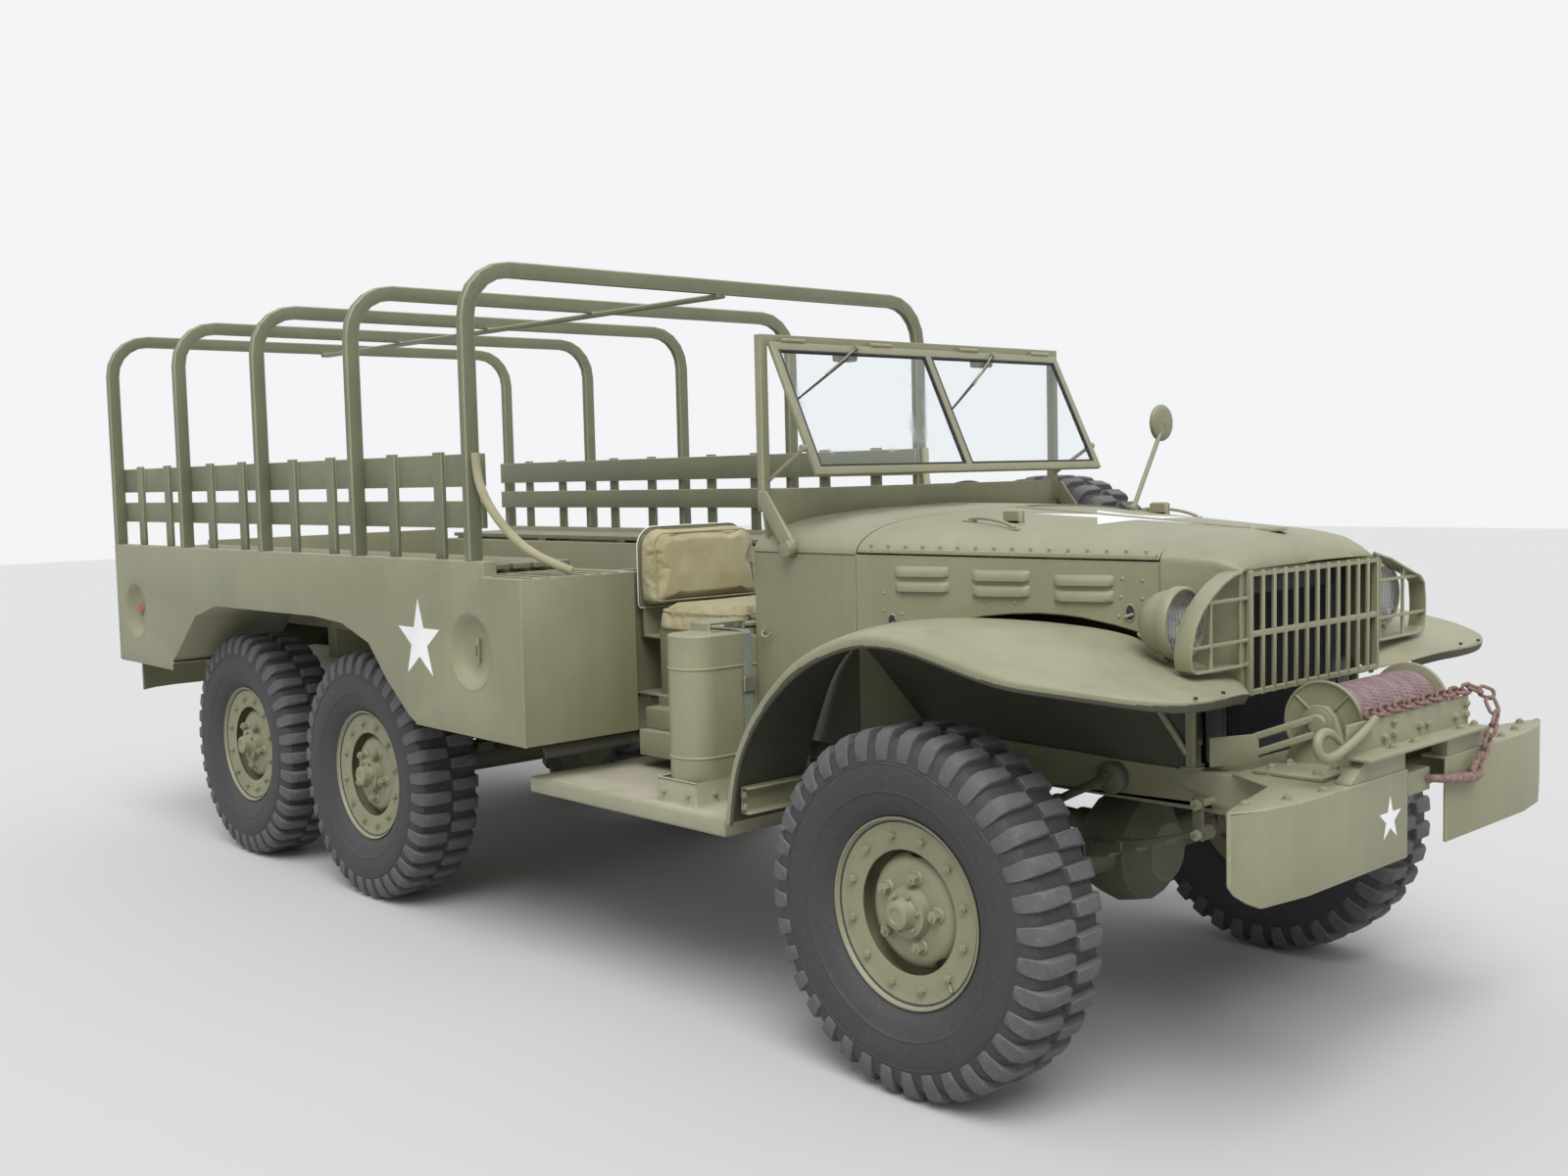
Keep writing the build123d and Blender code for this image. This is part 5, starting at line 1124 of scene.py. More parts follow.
# running gear, pipes and what else keeps the node's own shape
def tube(title, points, radius, sides=12, curved=True, closed=False, steps=8):
    # round bar through the points, its thickness one value or one for each point
    line = bpy.data.curves.new(title, "CURVE")
    line.dimensions = "3D"
    line.bevel_depth = 1.0
    line.bevel_resolution = max(sides // 2 - 2, 0)
    line.resolution_u = steps
    line.use_fill_caps = not closed
    spline = line.splines.new("NURBS" if curved else "POLY")
    spline.points.add(len(points) - 1)
    for k, (point, where) in enumerate(zip(spline.points, points)):
        point.co = (*where, 1)
        point.radius = radius[k] if isinstance(radius, (list, tuple)) else radius
    if curved:
        spline.order_u = 3
        spline.use_endpoint_u = True
    spline.use_cyclic_u = closed
    piece = bpy.data.objects.new(title, line)
    scene.collection.objects.link(piece)
    focus(piece)
    bpy.ops.object.convert(target="MESH")
    return smooth(fixNormals(name(bpy.context.object, title), 0.00001), 50)


def flatBar(title, start, end, wide, thick):
    # bar on edge between two places, rounded
    start, end = Vector(start), Vector(end)
    up = Vector((0, 0, wide / 2))
    across = (end - start).cross(Vector((0, 0, 1))).normalized() * thick
    piece = plate(title, [start - across / 2 - up, end - across / 2 - up, end - across / 2 + up,
                          start - across / 2 + up], across)
    return softened(piece, min(thick, wide) * 0.2)


underRows = [
    # node, title, edge radius, body
    ("front_axle", "front_axle_casting", 0.004, "truck"), ("rear_axles", "rear_axle_castings", 0.004, "truck"),
    ("knuckle_left", "steering_knuckle_left", 0.003, "knuckle_left"),
    ("knuckle_right", "steering_knuckle_right", 0.003, "knuckle_right"),
    ("tie_rod", "steering_tie_rod", 0.002, "tie_rod"), ("leaf_springs", "leaf_spring_packs", 0.0012, "truck"),
    ("driveline", "gearbox_and_shafts", 0.006, "truck"), ("exhaust", "muffler_and_pipes", 0.004, "truck"),
    ("engine", "engine_block", 0.012, "truck"), ("steering_column", "column_tube", 0.002, "truck")]
# the running gear in the darker chassis olive: dirt and painted shade
for nodeName, title, width, body in underRows:
    softCopy(nodeName, title, width, body, finishes=("chassisDirtAndShade", "chassisEdgeDirtAndShade"), angle=28)
softCopy("running_boards", "running_boards_rolled", 0.009, finishes=("dusty", "edge"), segments=3)
softCopy("fuel_can", "fuel_can_shell", 0.006, segments=3)

radiatorCore = {"x": (2.400, 2.462), "half": 0.285, "z": (0.780, 1.240), "fins": 72, "tubes": 9}


def makeRadiator():
    x0, x1 = radiatorCore["x"]
    z0, z1 = radiatorCore["z"]
    half = radiatorCore["half"]
    core = box("radiatorCore", x0 + 0.006, x1 - 0.012, -half + 0.03, half - 0.03, z0 + 0.05, z1 - 0.05)
    parts = [dress(core, "black")]
    fin = box("fin", x1 - 0.013, x1 - 0.001, -0.0008, 0.0008, z0 + 0.05, z1 - 0.05)
    step = 2 * (half - 0.035) / (radiatorCore["fins"] - 1)
    fins = [again(fin, f"fin{k}", Matrix.Translation((0, -half + 0.035 + k * step,
                                                      0))) for k in range(radiatorCore["fins"])]
    dropped(fin)
    parts.append(dress(join("fins", fins), "black"))
    for k in range(radiatorCore["tubes"]):
        z = z0 + 0.07 + (z1 - z0 - 0.14) * k / (radiatorCore["tubes"] - 1)
        parts.append(dress(tube("waterTube", [(x1 - 0.009, -half + 0.03, z), (x1 - 0.009, half - 0.03, z)], 0.0032, 8,
                                False), "black"))
    tanks = [box("topTank", x0, x1, -half, half, z1 - 0.05, z1), box("lowTank", x0, x1, -half, half, z0, z0 + 0.05)]
    tanks += [box("baffle", x1 - 0.004, x1, s * (half - 0.002), s * 0.351, z0 + 0.02, z1 + 0.022) for s in (1, -1)]
    tanks += [box("sideStrap", x0 + 0.004, x1 - 0.002, s * half, s * (half - 0.03), z0 + 0.04, z1 - 0.04)
              for s in (1, -1)]
    for tank in tanks:
        dress(tank, "black", "black")
        roundEdges(tank, 0.008, 3, 30)
        parts.append(smooth(tank))
    return place(join("radiator_core", parts), "truck", ["radiator"])


makeRadiator()

lamp = {"y": 0.490, "z": 1.150, "markerZ": 1.083, "tailY": 0.760, "tailZ": 0.900}


def paintInside(piece, wanted, slot):
    for face in piece.data.polygons:
        if wanted(face):
            face.material_index = slot
    return piece


def makeLamps():
    parts = []
    for side in (1, -1):
        centre = Vector((0, side * lamp["y"], lamp["z"]))
        shell = spun("lampShell", [(2.3850, 0), (2.3858, 0.014), (2.3885, 0.030), (2.3940, 0.045), (2.4050, 0.0590),
                                   (2.4200, 0.0690), (2.4400, 0.0765), (2.4640, 0.0805), (2.4665, 0.0812),
                                   (2.4680, 0.0856), (2.4720, 0.0874), (2.4840, 0.0877), (2.4905, 0.0864),
                                   (2.4942, 0.0825), (2.4938, 0.0785), (2.4900, 0.0768),
                                   (2.4860, 0.0765), (2.4780, 0.0738), (2.4640, 0.0650), (2.4530, 0.0500),
                                   (2.4460, 0.0300), (2.4435, 0)],
                     centre, 56, (1, 0, 0))
        dress(shell, "paint", "steel")
        paintInside(shell, lambda face: face.normal.x > 0.05 and face.center.x < 2.4880 and
                    (face.center - Vector((face.center.x, centre.y, centre.z))).length < 0.0767, 1)
        lens = spun("lampLens", [(2.4985, 0), (2.4978, 0.022), (2.4958, 0.045), (2.4925, 0.066), (2.4900, 0.0766),
                                 (2.4878, 0.0766), (2.4900, 0.066), (2.4932, 0.045), (2.4952, 0.022),
                                 (2.4958, 0)], centre, 56,
                                 (1, 0, 0))
        bulb = spun("bulb", [(2.4440, 0), (2.4440, 0.009), (2.4600, 0.009), (2.4650, 0.0075), (2.4690, 0.004),
                             (2.4700, 0)], centre, 16, (1, 0, 0))
        screw = spun("rimScrew", [(2.4720, 0), (2.4720, 0.0050), (2.4960, 0.0050), (2.4970, 0.0040), (2.4970, 0)],
                     centre + Vector((0, 0, -0.0880)), 12, (1, 0, 0))
        post = spun("lampPost", [(1.018, 0), (1.018, 0.034), (1.024, 0.034), (1.030, 0.022), (1.042, 0.0155),
                                 (1.062, 0.0145), (1.072, 0.020), (1.082, 0.032), (1.084, 0)], (2.440,
                                 side * lamp["y"], 0), 28, (0, 0, 1))
        markerCentre = Vector((0, side * lamp["y"], lamp["markerZ"]))
        marker = spun("markerShell", [(2.3920, 0), (2.3932, 0.0060), (2.3980, 0.0125), (2.4080, 0.0195),
                                      (2.4220, 0.0252), (2.4380, 0.0292), (2.4400, 0.0296), (2.4408, 0.0322),
                                      (2.4440, 0.0330), (2.4520, 0.0330), (2.4560, 0.0318),
                                      (2.4575, 0.0290), (2.4560, 0.0268), (2.4520, 0.0262), (2.4500, 0)],
                                      markerCentre, 32, (1, 0, 0))
        markerLens = spun("markerLens", [(2.4618, 0), (2.4610, 0.010), (2.4585, 0.0200), (2.4560, 0.0262),
                                         (2.4540, 0.0262), (2.4540, 0)],
                          markerCentre, 32, (1, 0, 0))
        tailCentre = Vector((0, side * lamp["tailY"], lamp["tailZ"]))
        tail = spun("tailShell", [(-2.6926, 0), (-2.6926, 0.044), (-2.6960, 0.044), (-2.6970, 0.0350),
                                  (-2.7360, 0.0360), (-2.7380, 0.0385), (-2.7450, 0.0385), (-2.7470, 0.0360),
                                  (-2.7470, 0.0320), (-2.7450, 0.0310), (-2.7450, 0)], tailCentre, 32, (1, 0, 0))
        tailLens = spun("tailLens", [(-2.7450, 0), (-2.7450, 0.0305), (-2.7490, 0.0290), (-2.7520, 0.0180),
                                     (-2.7525, 0)], tailCentre, 32, (1, 0, 0))
        for part, finishes in ((lens, "lens"), (bulb, "lens"), (screw, "edge"), (post, "paint"), (marker, "paint"),
                               (markerLens, "lens"), (tail, "paint"), (tailLens, "reflector")):
            dress(part, finishes)
        parts += [smooth(part, 40) for part in (shell, lens, bulb, screw, post, marker, markerLens, tail, tailLens)]
    # rods of the guard hoops beside the grille
    for side in (1, -1):
        parts.append(dress(tube("guardRod", [(2.549, side * 0.346, 1.036), (2.549, side * 0.346, 1.258)], 0.0040, 10,
                                False), "paint"))
    return place(join("lamps_and_rims", parts), "truck", ["lamps"])


makeLamps()
print("lamps and radiator made")


# painted stars: thin sheets that follow what they are painted on
def starSheet(title, radius, onSurface, triangles=range(10), fine=5):
    ring = [((radius if k % 2 == 0 else radius * 0.382), math.pi * k / 5) for k in range(11)]
    flat = [(0.0, 0.0)] + [(r * math.cos(a), r * math.sin(a)) for r, a in ring]
    parts = []
    for k in triangles:
        piece = traced(f"{title}{k}", [(*flat[0], 0), (*flat[k + 1], 0), (*flat[k + 2], 0)], closed=True)
        editAll(piece)
        bpy.ops.mesh.edge_face_add()
        leaveEdit()
        parts.append(piece)
    piece = join(title, parts)
    editAll(piece)
    bpy.ops.mesh.remove_doubles(threshold=0.00005)
    bpy.ops.mesh.normals_make_consistent(inside=False)
    bpy.ops.mesh.subdivide(number_cuts=fine)
    leaveEdit()
    for vertex in piece.data.vertices:
        vertex.co = onSurface(vertex.co.x, vertex.co.y)
    return piece


def hoodHeight(x, y):
    half, crown, seam = stationAt(x)
    t = min(abs(y) / half, 1.0)
    return crown - (crown - seam) * hoodDrop(t)


def painted(piece, inside, thickness=0.0005):
    outwards(piece, inside)
    walled(piece, thickness)
    return dress(piece, "star")


stars = {"hoodX": 1.990, "hoodRadius": 0.250, "sideX": -0.0225, "sideZ": 1.003, "sideRadius": 0.137,
         "bumperY": -0.190, "bumperZ": 0.692, "bumperRadius": 0.055}
for side, sideName in bothSides:
    star = starSheet(f"hood_star_{sideName}", stars["hoodRadius"],
                     lambda u, v: Vector((stars["hoodX"] + u, side * max(v, 0.0063),
                                          hoodHeight(stars["hoodX"] + u, v) + 0.0010)), range(5), 7)
    place(painted(star, (1.99, side * 0.1, 1.2)), f"hood_{sideName}")
    sideStar = starSheet(f"side_star_{sideName}", stars["sideRadius"],
                         lambda u, v: Vector((stars["sideX"] + v, side * 1.0538, stars["sideZ"] + u)))
    place(painted(sideStar, (stars["sideX"], 0, 1.0)), "truck")
bumperStar = starSheet("bumper_star", stars["bumperRadius"],
                       lambda u, v: Vector((2.8427, stars["bumperY"] + v, stars["bumperZ"] + u)))
place(painted(bumperStar, (2.5, -0.19, 0.69)), "truck")
print("stars painted")


# cargo sides: smooth round recesses, a catch in the front one, a reflector in the rear one, bolts and ribs
cargoSide = {"skin": 1.0530, "recesses": [(0.2875, 0.990), (-2.4825, 0.985)], "boltZ": 1.247, "boltCount": 21}


def makeSideDetails():
    parts = []
    stud = makeRivet("stud", 0.0065, 0.0010)
    spots = []
    for side in (1, -1):
        for k, (x, z) in enumerate(cargoSide["recesses"]):
            dish = spun("recess", [(0.0004, 0.1285), (0.0008, 0.1240), (-0.0008, 0.1190), (-0.0050, 0.1120),
                                   (-0.0130, 0.1020), (-0.0230, 0.0905), (-0.0310, 0.0800), (-0.0350, 0.0690),
                                   (-0.0362, 0.0500), (-0.0365, 0)],
                        (0, 0, 0), 64)
            dish.data.transform(Matrix.Translation((x, cargoSide["skin"], z)))
            outwards(dish, (x, 0, z))
            parts.append(smooth(dress(toSide(dish, side), "paint"), 60))
            floorY = cargoSide["skin"] - 0.0365
            if k == 0:
                catch = box("catch", x - 0.007, x + 0.007, side * floorY, side * (floorY + 0.012), z - 0.042,
                            z + 0.036)
                # the slot is a black block on the catch: painted shade
                slotShade = box("catchSlotShade", x - 0.003, x + 0.003, side * (floorY + 0.004), side * (floorY + 0.0124),
                               z - 0.020, z + 0.014)
                parts += [softened(catch, 0.003), dress(slotShade, "black")]
            else:
                cup = spun("reflectorCup", [(0, 0), (0, 0.030), (0.006, 0.030), (0.008, 0.0270), (0.0075, 0.0255),
                                            (0.0060, 0)],
                           (0, 0, 0), 32)
                red = spun("reflectorLens", [(0.0062, 0.0252), (0.0085, 0.0245), (0.0115, 0.0160), (0.0122, 0)],
                           (0, 0, 0), 32)
                for part, key in ((cup, "paint"), (red, "reflector")):
                    part.data.transform(Matrix.Translation((x - 0.022, floorY, z + 0.005)))
                    parts.append(smooth(dress(toSide(part, side), key), 50))
        for k in range(cargoSide["boltCount"]):
            spots.append(((-2.640 + 2.985 * k / (cargoSide["boltCount"] - 1), side * cargoSide["skin"],
                           cargoSide["boltZ"]), (0, side, 0)))
        for k in range(6):      # ribs on the lid of the front box
            y = side * (0.690 + 0.064 * k)
            rib = box("lidRib", 0.300, 0.572, y - 0.009, y + 0.009, 1.2215, 1.2265)
            parts.append(softened(rib, 0.0018, 1, ("boards", "edge")))
    parts.append(bolts("sideStuds", stud, spots))
    dropped(stud)
    return place(join("side_recesses_and_bolts", parts), "truck")


makeSideDetails()
print("cargo sides detailed")


# winch: drum with ribbed flanges, roped turns of cable, chain over the beam with its hooks
winch = {"x": 2.692, "z": 0.905, "turns": 32, "reach": 0.2085}


def ropeMaterial():
    # strands that run slanting round the drum
    material, tree, shader, where = plainMaterial("woundRope")
    parts = put(tree, "ShaderNodeSeparateXYZ", {0: where}).outputs
    around = put(tree, "ShaderNodeMath", {0: sums(tree, "SUBTRACT", parts["Z"], winch["z"]),
                                          1: sums(tree, "SUBTRACT", parts["X"], winch["x"])},
                 operation="ARCTAN2").outputs[0]
    phase = sums(tree, "ADD", sums(tree, "MULTIPLY", around, 46.0), sums(tree, "MULTIPLY", parts["Y"], 610.0))
    strand = ranged(tree, sums(tree, "SINE", phase, 0.0), -1, 1)
    effect = put(tree, "ShaderNodeGroup", {"Dark": (0.20, 0.130, 0.135, 1), "Light": (0.34, 0.245, 0.25, 1),
                                           "Scale": 30.0}, node_tree=groups["crust"])
    # darker between the strands: painted shade in the grooves
    tree.links.new(blended(tree, ranged(tree, strand, 0.0, 0.45, 0.45, 0.0), effect.outputs["Color"],
                           (0.10, 0.060, 0.065, 1)),
                   shader.inputs["Base Color"])
    tree.links.new(effect.outputs["Roughness"], shader.inputs["Roughness"])
    height = sums(tree, "ADD", strand, sums(tree, "MULTIPLY", effect.outputs["Height"], 0.4))
    tree.links.new(put(tree, "ShaderNodeBump", {"Height": height, "Distance": 0.0016, "Strength": 0.8}).outputs[0],
                   shader.inputs["Normal"])
    return material


materials["rope"] = ropeMaterial()


def makeWinchDrum():
    centre = (winch["x"], 0, winch["z"])
    half = [(0.2100, 0.040), (0.2100, 0.0970), (0.2112, 0.0990), (0.2130, 0.0998), (0.2215, 0.0998), (0.2228, 0.0985),
            (0.2228, 0.0950), (0.2215, 0.0935), (0.2185, 0.0928), (0.2172, 0.0905), (0.2168, 0.0600),
            (0.2168, 0.0400), (0.2180, 0.0375), (0.2225, 0.0365),
            (0.2228, 0.0200), (0.2495, 0.0195), (0.2495, 0)]
    drum = spun("drum", [(-y, r) for y, r in reversed(half)] + half, centre, 56)
    parts = [smooth(dress(drum, "paint"), 35)]
    for side in (1, -1):
        for angle in (48, 140, 232, 322):
            rib = box("flangeRib", 0.036, 0.0925, side * 0.2165, side * 0.2222, -0.0025, 0.0025)
            dress(rib, "paint", "edge")
            roundEdges(rib, 0.001, 1, 30, wornSlot=1)
            rib.data.transform(Matrix.Translation(centre) @ Matrix.Rotation(math.radians(-angle), 4, "Y"))
            parts.append(rib)
    profile = [(-winch["reach"], 0.0410)]
    pitch = 2 * winch["reach"] / winch["turns"]
    for k in range(winch["turns"]):
        foot = 0.0715 + 0.0062 * abs(math.sin(math.pi * (k + 0.5) / 4.0)) ** 0.6
        for j in range(6):
            a = math.pi * (j + 0.25) / 5.5
            profile.append((-winch["reach"] + (k + 0.5 - 0.5 * math.cos(a)) * pitch, foot + 0.0060 * math.sin(a)))
    profile.append((winch["reach"], 0.0410))
    cable = spun("cableTurns", profile, centre, 60)
    for vertex in cable.data.vertices:      # turns lie a little unevenly
        a = math.atan2(vertex.co.z - winch["z"], vertex.co.x - winch["x"])
        vertex.co.y += 0.0022 * math.sin(a * 1.0 + 0.4) * (1 - (vertex.co.y / winch["reach"]) ** 2)
    parts.append(smooth(dress(cable, "rope"), 60))
    return place(join("winch_drum_and_cable", parts), "winch_drum", ["winch_drum", "winch_cable"])


makeWinchDrum()

chain = {"pitch": 0.036, "wire": 0.0046, "half": 0.0125, "stretch": 0.0098,
         "path": [(2.810, -0.225, 0.9423), (2.810, 0.306, 0.9423), (2.834, 0.342, 0.926), (2.862, 0.334, 0.873),
                  (2.862, 0.312, 0.843), (2.862, 0.226, 0.752)]}


def makeChain():
    deselect()
    bpy.ops.mesh.primitive_torus_add(major_segments=20, minor_segments=10, major_radius=chain["half"],
                                     minor_radius=chain["wire"])
    link = name(bpy.context.object, "link")
    for vertex in link.data.vertices:
        if abs(vertex.co.x) > 0.0001:
            vertex.co.x += math.copysign(chain["stretch"], vertex.co.x)
    links = []
    reach = 0.0
    for start, end in zip(chain["path"], chain["path"][1:]):
        start, end = Vector(start), Vector(end)
        along = (end - start).normalized()
        while reach < (end - start).length:
            tilt = 0.30 if len(links) % 2 else 1.35
            tilt += 0.12 * random.uniform(-1, 1)
            turn = along.to_track_quat("X", "Z").to_matrix().to_4x4() @ Matrix.Rotation(tilt, 4, "X")
            sag = Vector((0, 0, 0.0012 * random.uniform(-1, 1) - (0.003 if len(links) < 15 else 0)))
            links.append(again(link, f"link{len(links)}", Matrix.Translation(start + along * reach + sag) @ turn))
            reach += chain["pitch"]
        reach -= (end - start).length
    dropped(link)
    grab = tube("grabHook", [(2.861, 0.238, 0.738), (2.861, 0.205, 0.732), (2.861, 0.150, 0.741),
                             (2.861, 0.085, 0.748), (2.852, 0.050, 0.752),
                             (2.836, 0.034, 0.753), (2.824, 0.032, 0.753)],
                [0.0120, 0.0140, 0.0135, 0.0120, 0.0105, 0.0095, 0.0080], 12)
    eye = tube("grabEye", [(2.861, 0.222 + 0.021 * math.cos(a * math.pi / 6),
                            0.748 + 0.021 * math.sin(a * math.pi / 6)) for a in range(12)],
               0.0075, 10, True, True)
    whole = join("winch_chain_links", links + [grab, eye])
    return place(smooth(dress(whole, "rust"), 60), "truck", ["winch_chain"])


makeChain()


def makeWinchFittings():
    parts = []
    for side in (1, -1):
        boss = spun("boss", [(0.2400, 0), (0.2400, 0.0345), (0.2440, 0.0340), (0.2450, 0.0300), (0.2455, 0.0235),
                             (0.2520, 0.0225), (0.2550, 0.0200), (0.2560, 0.0140), (0.2545, 0)], (0, 0, 0), 32)
        boss.data.transform(Matrix.Translation((winch["x"], 0,
                                                winch["z"])) @ (flip if side < 0 else Matrix.Identity(4)))
        parts.append(smooth(dress(fixNormals(boss), "paint"), 35))
        parts.append(flatBar("brace", (2.498, side * 0.397, 0.836), (2.572, side * 0.303, 0.842), 0.070, 0.006))
        parts.append(flatBar("forkHigh", (2.560, side * 0.308, 0.868), (2.690, side * 0.2475, 0.921), 0.017, 0.012))
        parts.append(flatBar("forkLow", (2.560, side * 0.308, 0.828), (2.690, side * 0.2475, 0.882), 0.017, 0.012))
    hook = tube("hookRod", [(2.8285, -0.236, 0.932), (2.8285, -0.272, 0.912), (2.8285, -0.360, 0.882),
                            (2.826, -0.438, 0.864), (2.822, -0.480, 0.876),
                            (2.818, -0.484, 0.912), (2.816, -0.448, 0.928), (2.816, -0.402, 0.914),
                            (2.816, -0.378, 0.892)],
                [0.0085, 0.0100, 0.0105, 0.0110, 0.0110, 0.0110, 0.0105, 0.0095, 0.0060], 14)
    parts.append(dress(hook, "paint"))
    head = hexBolt("boltHead", 0.019, 0.009)
    washer = spun("washer", [(0, 0), (0, 0.0130), (0.0018, 0.0126), (0.0020, 0)], (0, 0, 0), 20)
    for side in (1, -1):        # cheeks that slope from the pedestals down to the shelf
        cheek = plate("cheek", [(2.802, side * 0.2985, 0.8455), (2.802, side * 0.2985, 0.7965),
                                (2.802, side * 0.372, 0.7965), (2.802, side * 0.366, 0.806)],
                      (0.038, 0, 0))
        parts.append(softened(cheek, 0.003))
    bolt = smooth(dress(join("bolt", [head, washer]), "edge"), 38)
    up, ahead = (0, 0, 1), (1, 0, 0)
    spots = []
    for s in (1, -1):
        spots += [((x, s * y, 0.8060), up) for x, y in ((2.630, 0.262), (2.745, 0.262), (2.630, 0.345),
                                                        (2.745, 0.345))]
        spots += [((x, s * y, 0.7960), up) for x, y in ((2.808, 0.322), (2.822, 0.461), (2.806, 0.586),
                                                        (2.772, 0.700), (2.640, 0.368))]
    spots += [((2.838, y, 0.8530), up) for y in (-0.168, -0.062, 0.185, 0.262)]
    spots += [((2.814, y, z), ahead) for y, z in ((-0.168, 0.878), (-0.120, 0.880), (0.011, 0.882), (0.051, 0.882),
                                                  (0.205, 0.880), (0.262, 0.880), (-0.121, 0.908), (0.262, 0.906))]
    parts.append(bolts("winchBolts", bolt, spots))
    dropped(bolt)
    return place(join("winch_bosses_and_bolts", parts), "truck")


makeWinchFittings()
print("winch and chain made")

# windshield: rubber round the panes, wipers on the glass frame's front
pane = {"top": (1.2545, 1.885), "lean": 26, "drop": 0.415, "half": 0.648, "bar": 0.024,
        "wipers": [((-0.316, 0.012), (-0.360, 0.046), (-0.615, 0.180), (-0.478, 0.104)),
                   ((0.305, 0.012), (0.262, 0.052), (0.018, 0.205), (0.152, 0.125))]}


def onPane(y, down, out=0.0):
    lean = math.radians(pane["lean"])
    return Vector((pane["top"][0] + math.sin(lean) * down + math.cos(lean) * out, y,
                   pane["top"][1] - math.cos(lean) * down + math.sin(lean) * out))


def makeWindshield():
    parts = []
    for side in (1, -1):        # rubber channel round each pane, both faces
        y0, y1 = side * (pane["bar"] / 2), side * (pane["half"] - pane["bar"])
        d0, d1 = pane["bar"], pane["drop"] - pane["bar"]
        for out in (0.0042, -0.0042):
            corners = [onPane(y0 + side * 0.003, d0 + 0.003, out), onPane(y1 - side * 0.003, d0 + 0.003, out),
                       onPane(y1 - side * 0.003, d1 - 0.003, out), onPane(y0 + side * 0.003, d1 - 0.003, out)]
            for a, b in zip(corners, corners[1:] + corners[:1]):
                parts.append(dress(rod("paneRubber", a, b, 0.0038, 8), "black"))
    for pivot, bladeHigh, bladeLow, middle in pane["wipers"]:
        knob = rod("wiperPivot", onPane(*pivot, 0.002), onPane(*pivot, 0.022), 0.0085, 16)
        arm = tube("wiperArm", [onPane(*pivot, 0.016), onPane((pivot[0] + middle[0]) / 2, (pivot[1] + middle[1]) / 2,
                                                              0.018), onPane(*middle, 0.0135)],
                   0.0030, 8)
        spine = tube("bladeSpine", [onPane(*bladeHigh, 0.009), onPane(*middle, 0.0125), onPane(*bladeLow, 0.009)],
                     0.0028, 8)
        rubberEdge = flatBar("bladeRubber", onPane(*bladeHigh, 0.0058), onPane(*bladeLow, 0.0058), 0.006, 0.0035)
        for part, key in ((knob, "paint"), (arm, "paint"), (spine, "black"), (rubberEdge, "black")):
            parts.append(dress(part, key))
    # motors behind the header, one for each blade
    for pivot, bladeHigh, bladeLow, middle in pane["wipers"]:
        motor = box("wiperMotor", 1.200, 1.246, pivot[0] - 0.034, pivot[0] + 0.034, 1.842, 1.884)
        parts.append(softened(motor, 0.008, 3))
    # hinges along the top, wing nuts and slotted arms at the sides
    for y in (-0.560, -0.200, 0.200, 0.560):
        parts.append(smooth(dress(rod("topHinge", (1.2585, y - 0.045, 1.8925), (1.2585, y + 0.045, 1.8925), 0.0065,
                                      14), "edge")))
    for side in (1, -1):
        low = onPane(side * 0.641, 0.330, -0.004)
        parts.append(flatBar("ventArm", (1.2500, side * 0.654, 1.500), (low.x, side * 0.654, low.z), 0.014, 0.003))
        parts.append(smooth(dress(rod("ventNut", (low.x, side * 0.640, low.z), (low.x, side * 0.664, low.z), 0.010,
                                      12), "edge")))
        knob = spun("pivotKnob", [(0, 0.0), (0, 0.0225), (0.004, 0.0245), (0.016, 0.0240), (0.022, 0.0200),
                                  (0.0245, 0.0120), (0.0250, 0)],
                    (0, 0, 0), 32)
        knob.data.transform(Matrix.Translation((1.357, 0.6760, 1.310)))
        parts.append(smooth(dress(toSide(knob, side), "paint"), 40))
    return place(join("wipers_and_seals", parts), "truck")


makeWindshield()

# fittings on the hood: rest blocks for the windshield, spring hooks
hoodFittings = {"rest": (1.845, 1.898, 0.327, 0.354), "hook": [(1.770, 0.401), (1.800, 0.406), (1.860, 0.414),
                                                               (1.915, 0.421), (1.944, 0.426)]}


def makeHoodFittings(side, sideName):
    x0, x1, y0, y1 = hoodFittings["rest"]
    z = hoodHeight((x0 + x1) / 2, (y0 + y1) / 2)
    parts = []
    base = box("restBase", x0, x1, side * y0, side * y1, z - 0.004, z + 0.005)
    walls = [box("restWall", x0, x1, side * y, side * (y + 0.004), z - 0.003, z + 0.030) for y in (y0, y1 - 0.004)]
    for part in [base] + walls:
        parts.append(softened(part, 0.0012, 1))
    pad = box("restPad", x0 + 0.002, x1 - 0.002, side * (y0 + 0.004), side * (y1 - 0.004), z + 0.004, z + 0.033)
    dress(pad, "canvas")
    roundEdges(pad, 0.003, 2, 30)
    parts.append(smooth(pad))
    points = [Vector((x, side * y, hoodHeight(x, y) + lift)) for (x, y),
              lift in zip(hoodFittings["hook"], (0.006, 0.014, 0.016, 0.013, 0.005))]
    parts.append(dress(tube("springHook", points, 0.0046, 10), "edge"))
    for (x, y), size in ((hoodFittings["hook"][0], 0.018), (hoodFittings["hook"][-1], 0.013)):
        z = hoodHeight(x, y)
        foot = box("hookFoot", x - size, x + size, side * (y - size * 0.7), side * (y + size * 0.7), z - 0.002,
                   z + 0.004)
        parts.append(softened(foot, 0.0012, 1))
    return place(join(f"hood_fittings_{sideName}", parts), f"hood_{sideName}")


for side, sideName in bothSides:
    makeHoodFittings(side, sideName)
print("windshield and hood fittings made")


# mirror on its arm
mirrorCentre = (0, 0.950, 1.660)


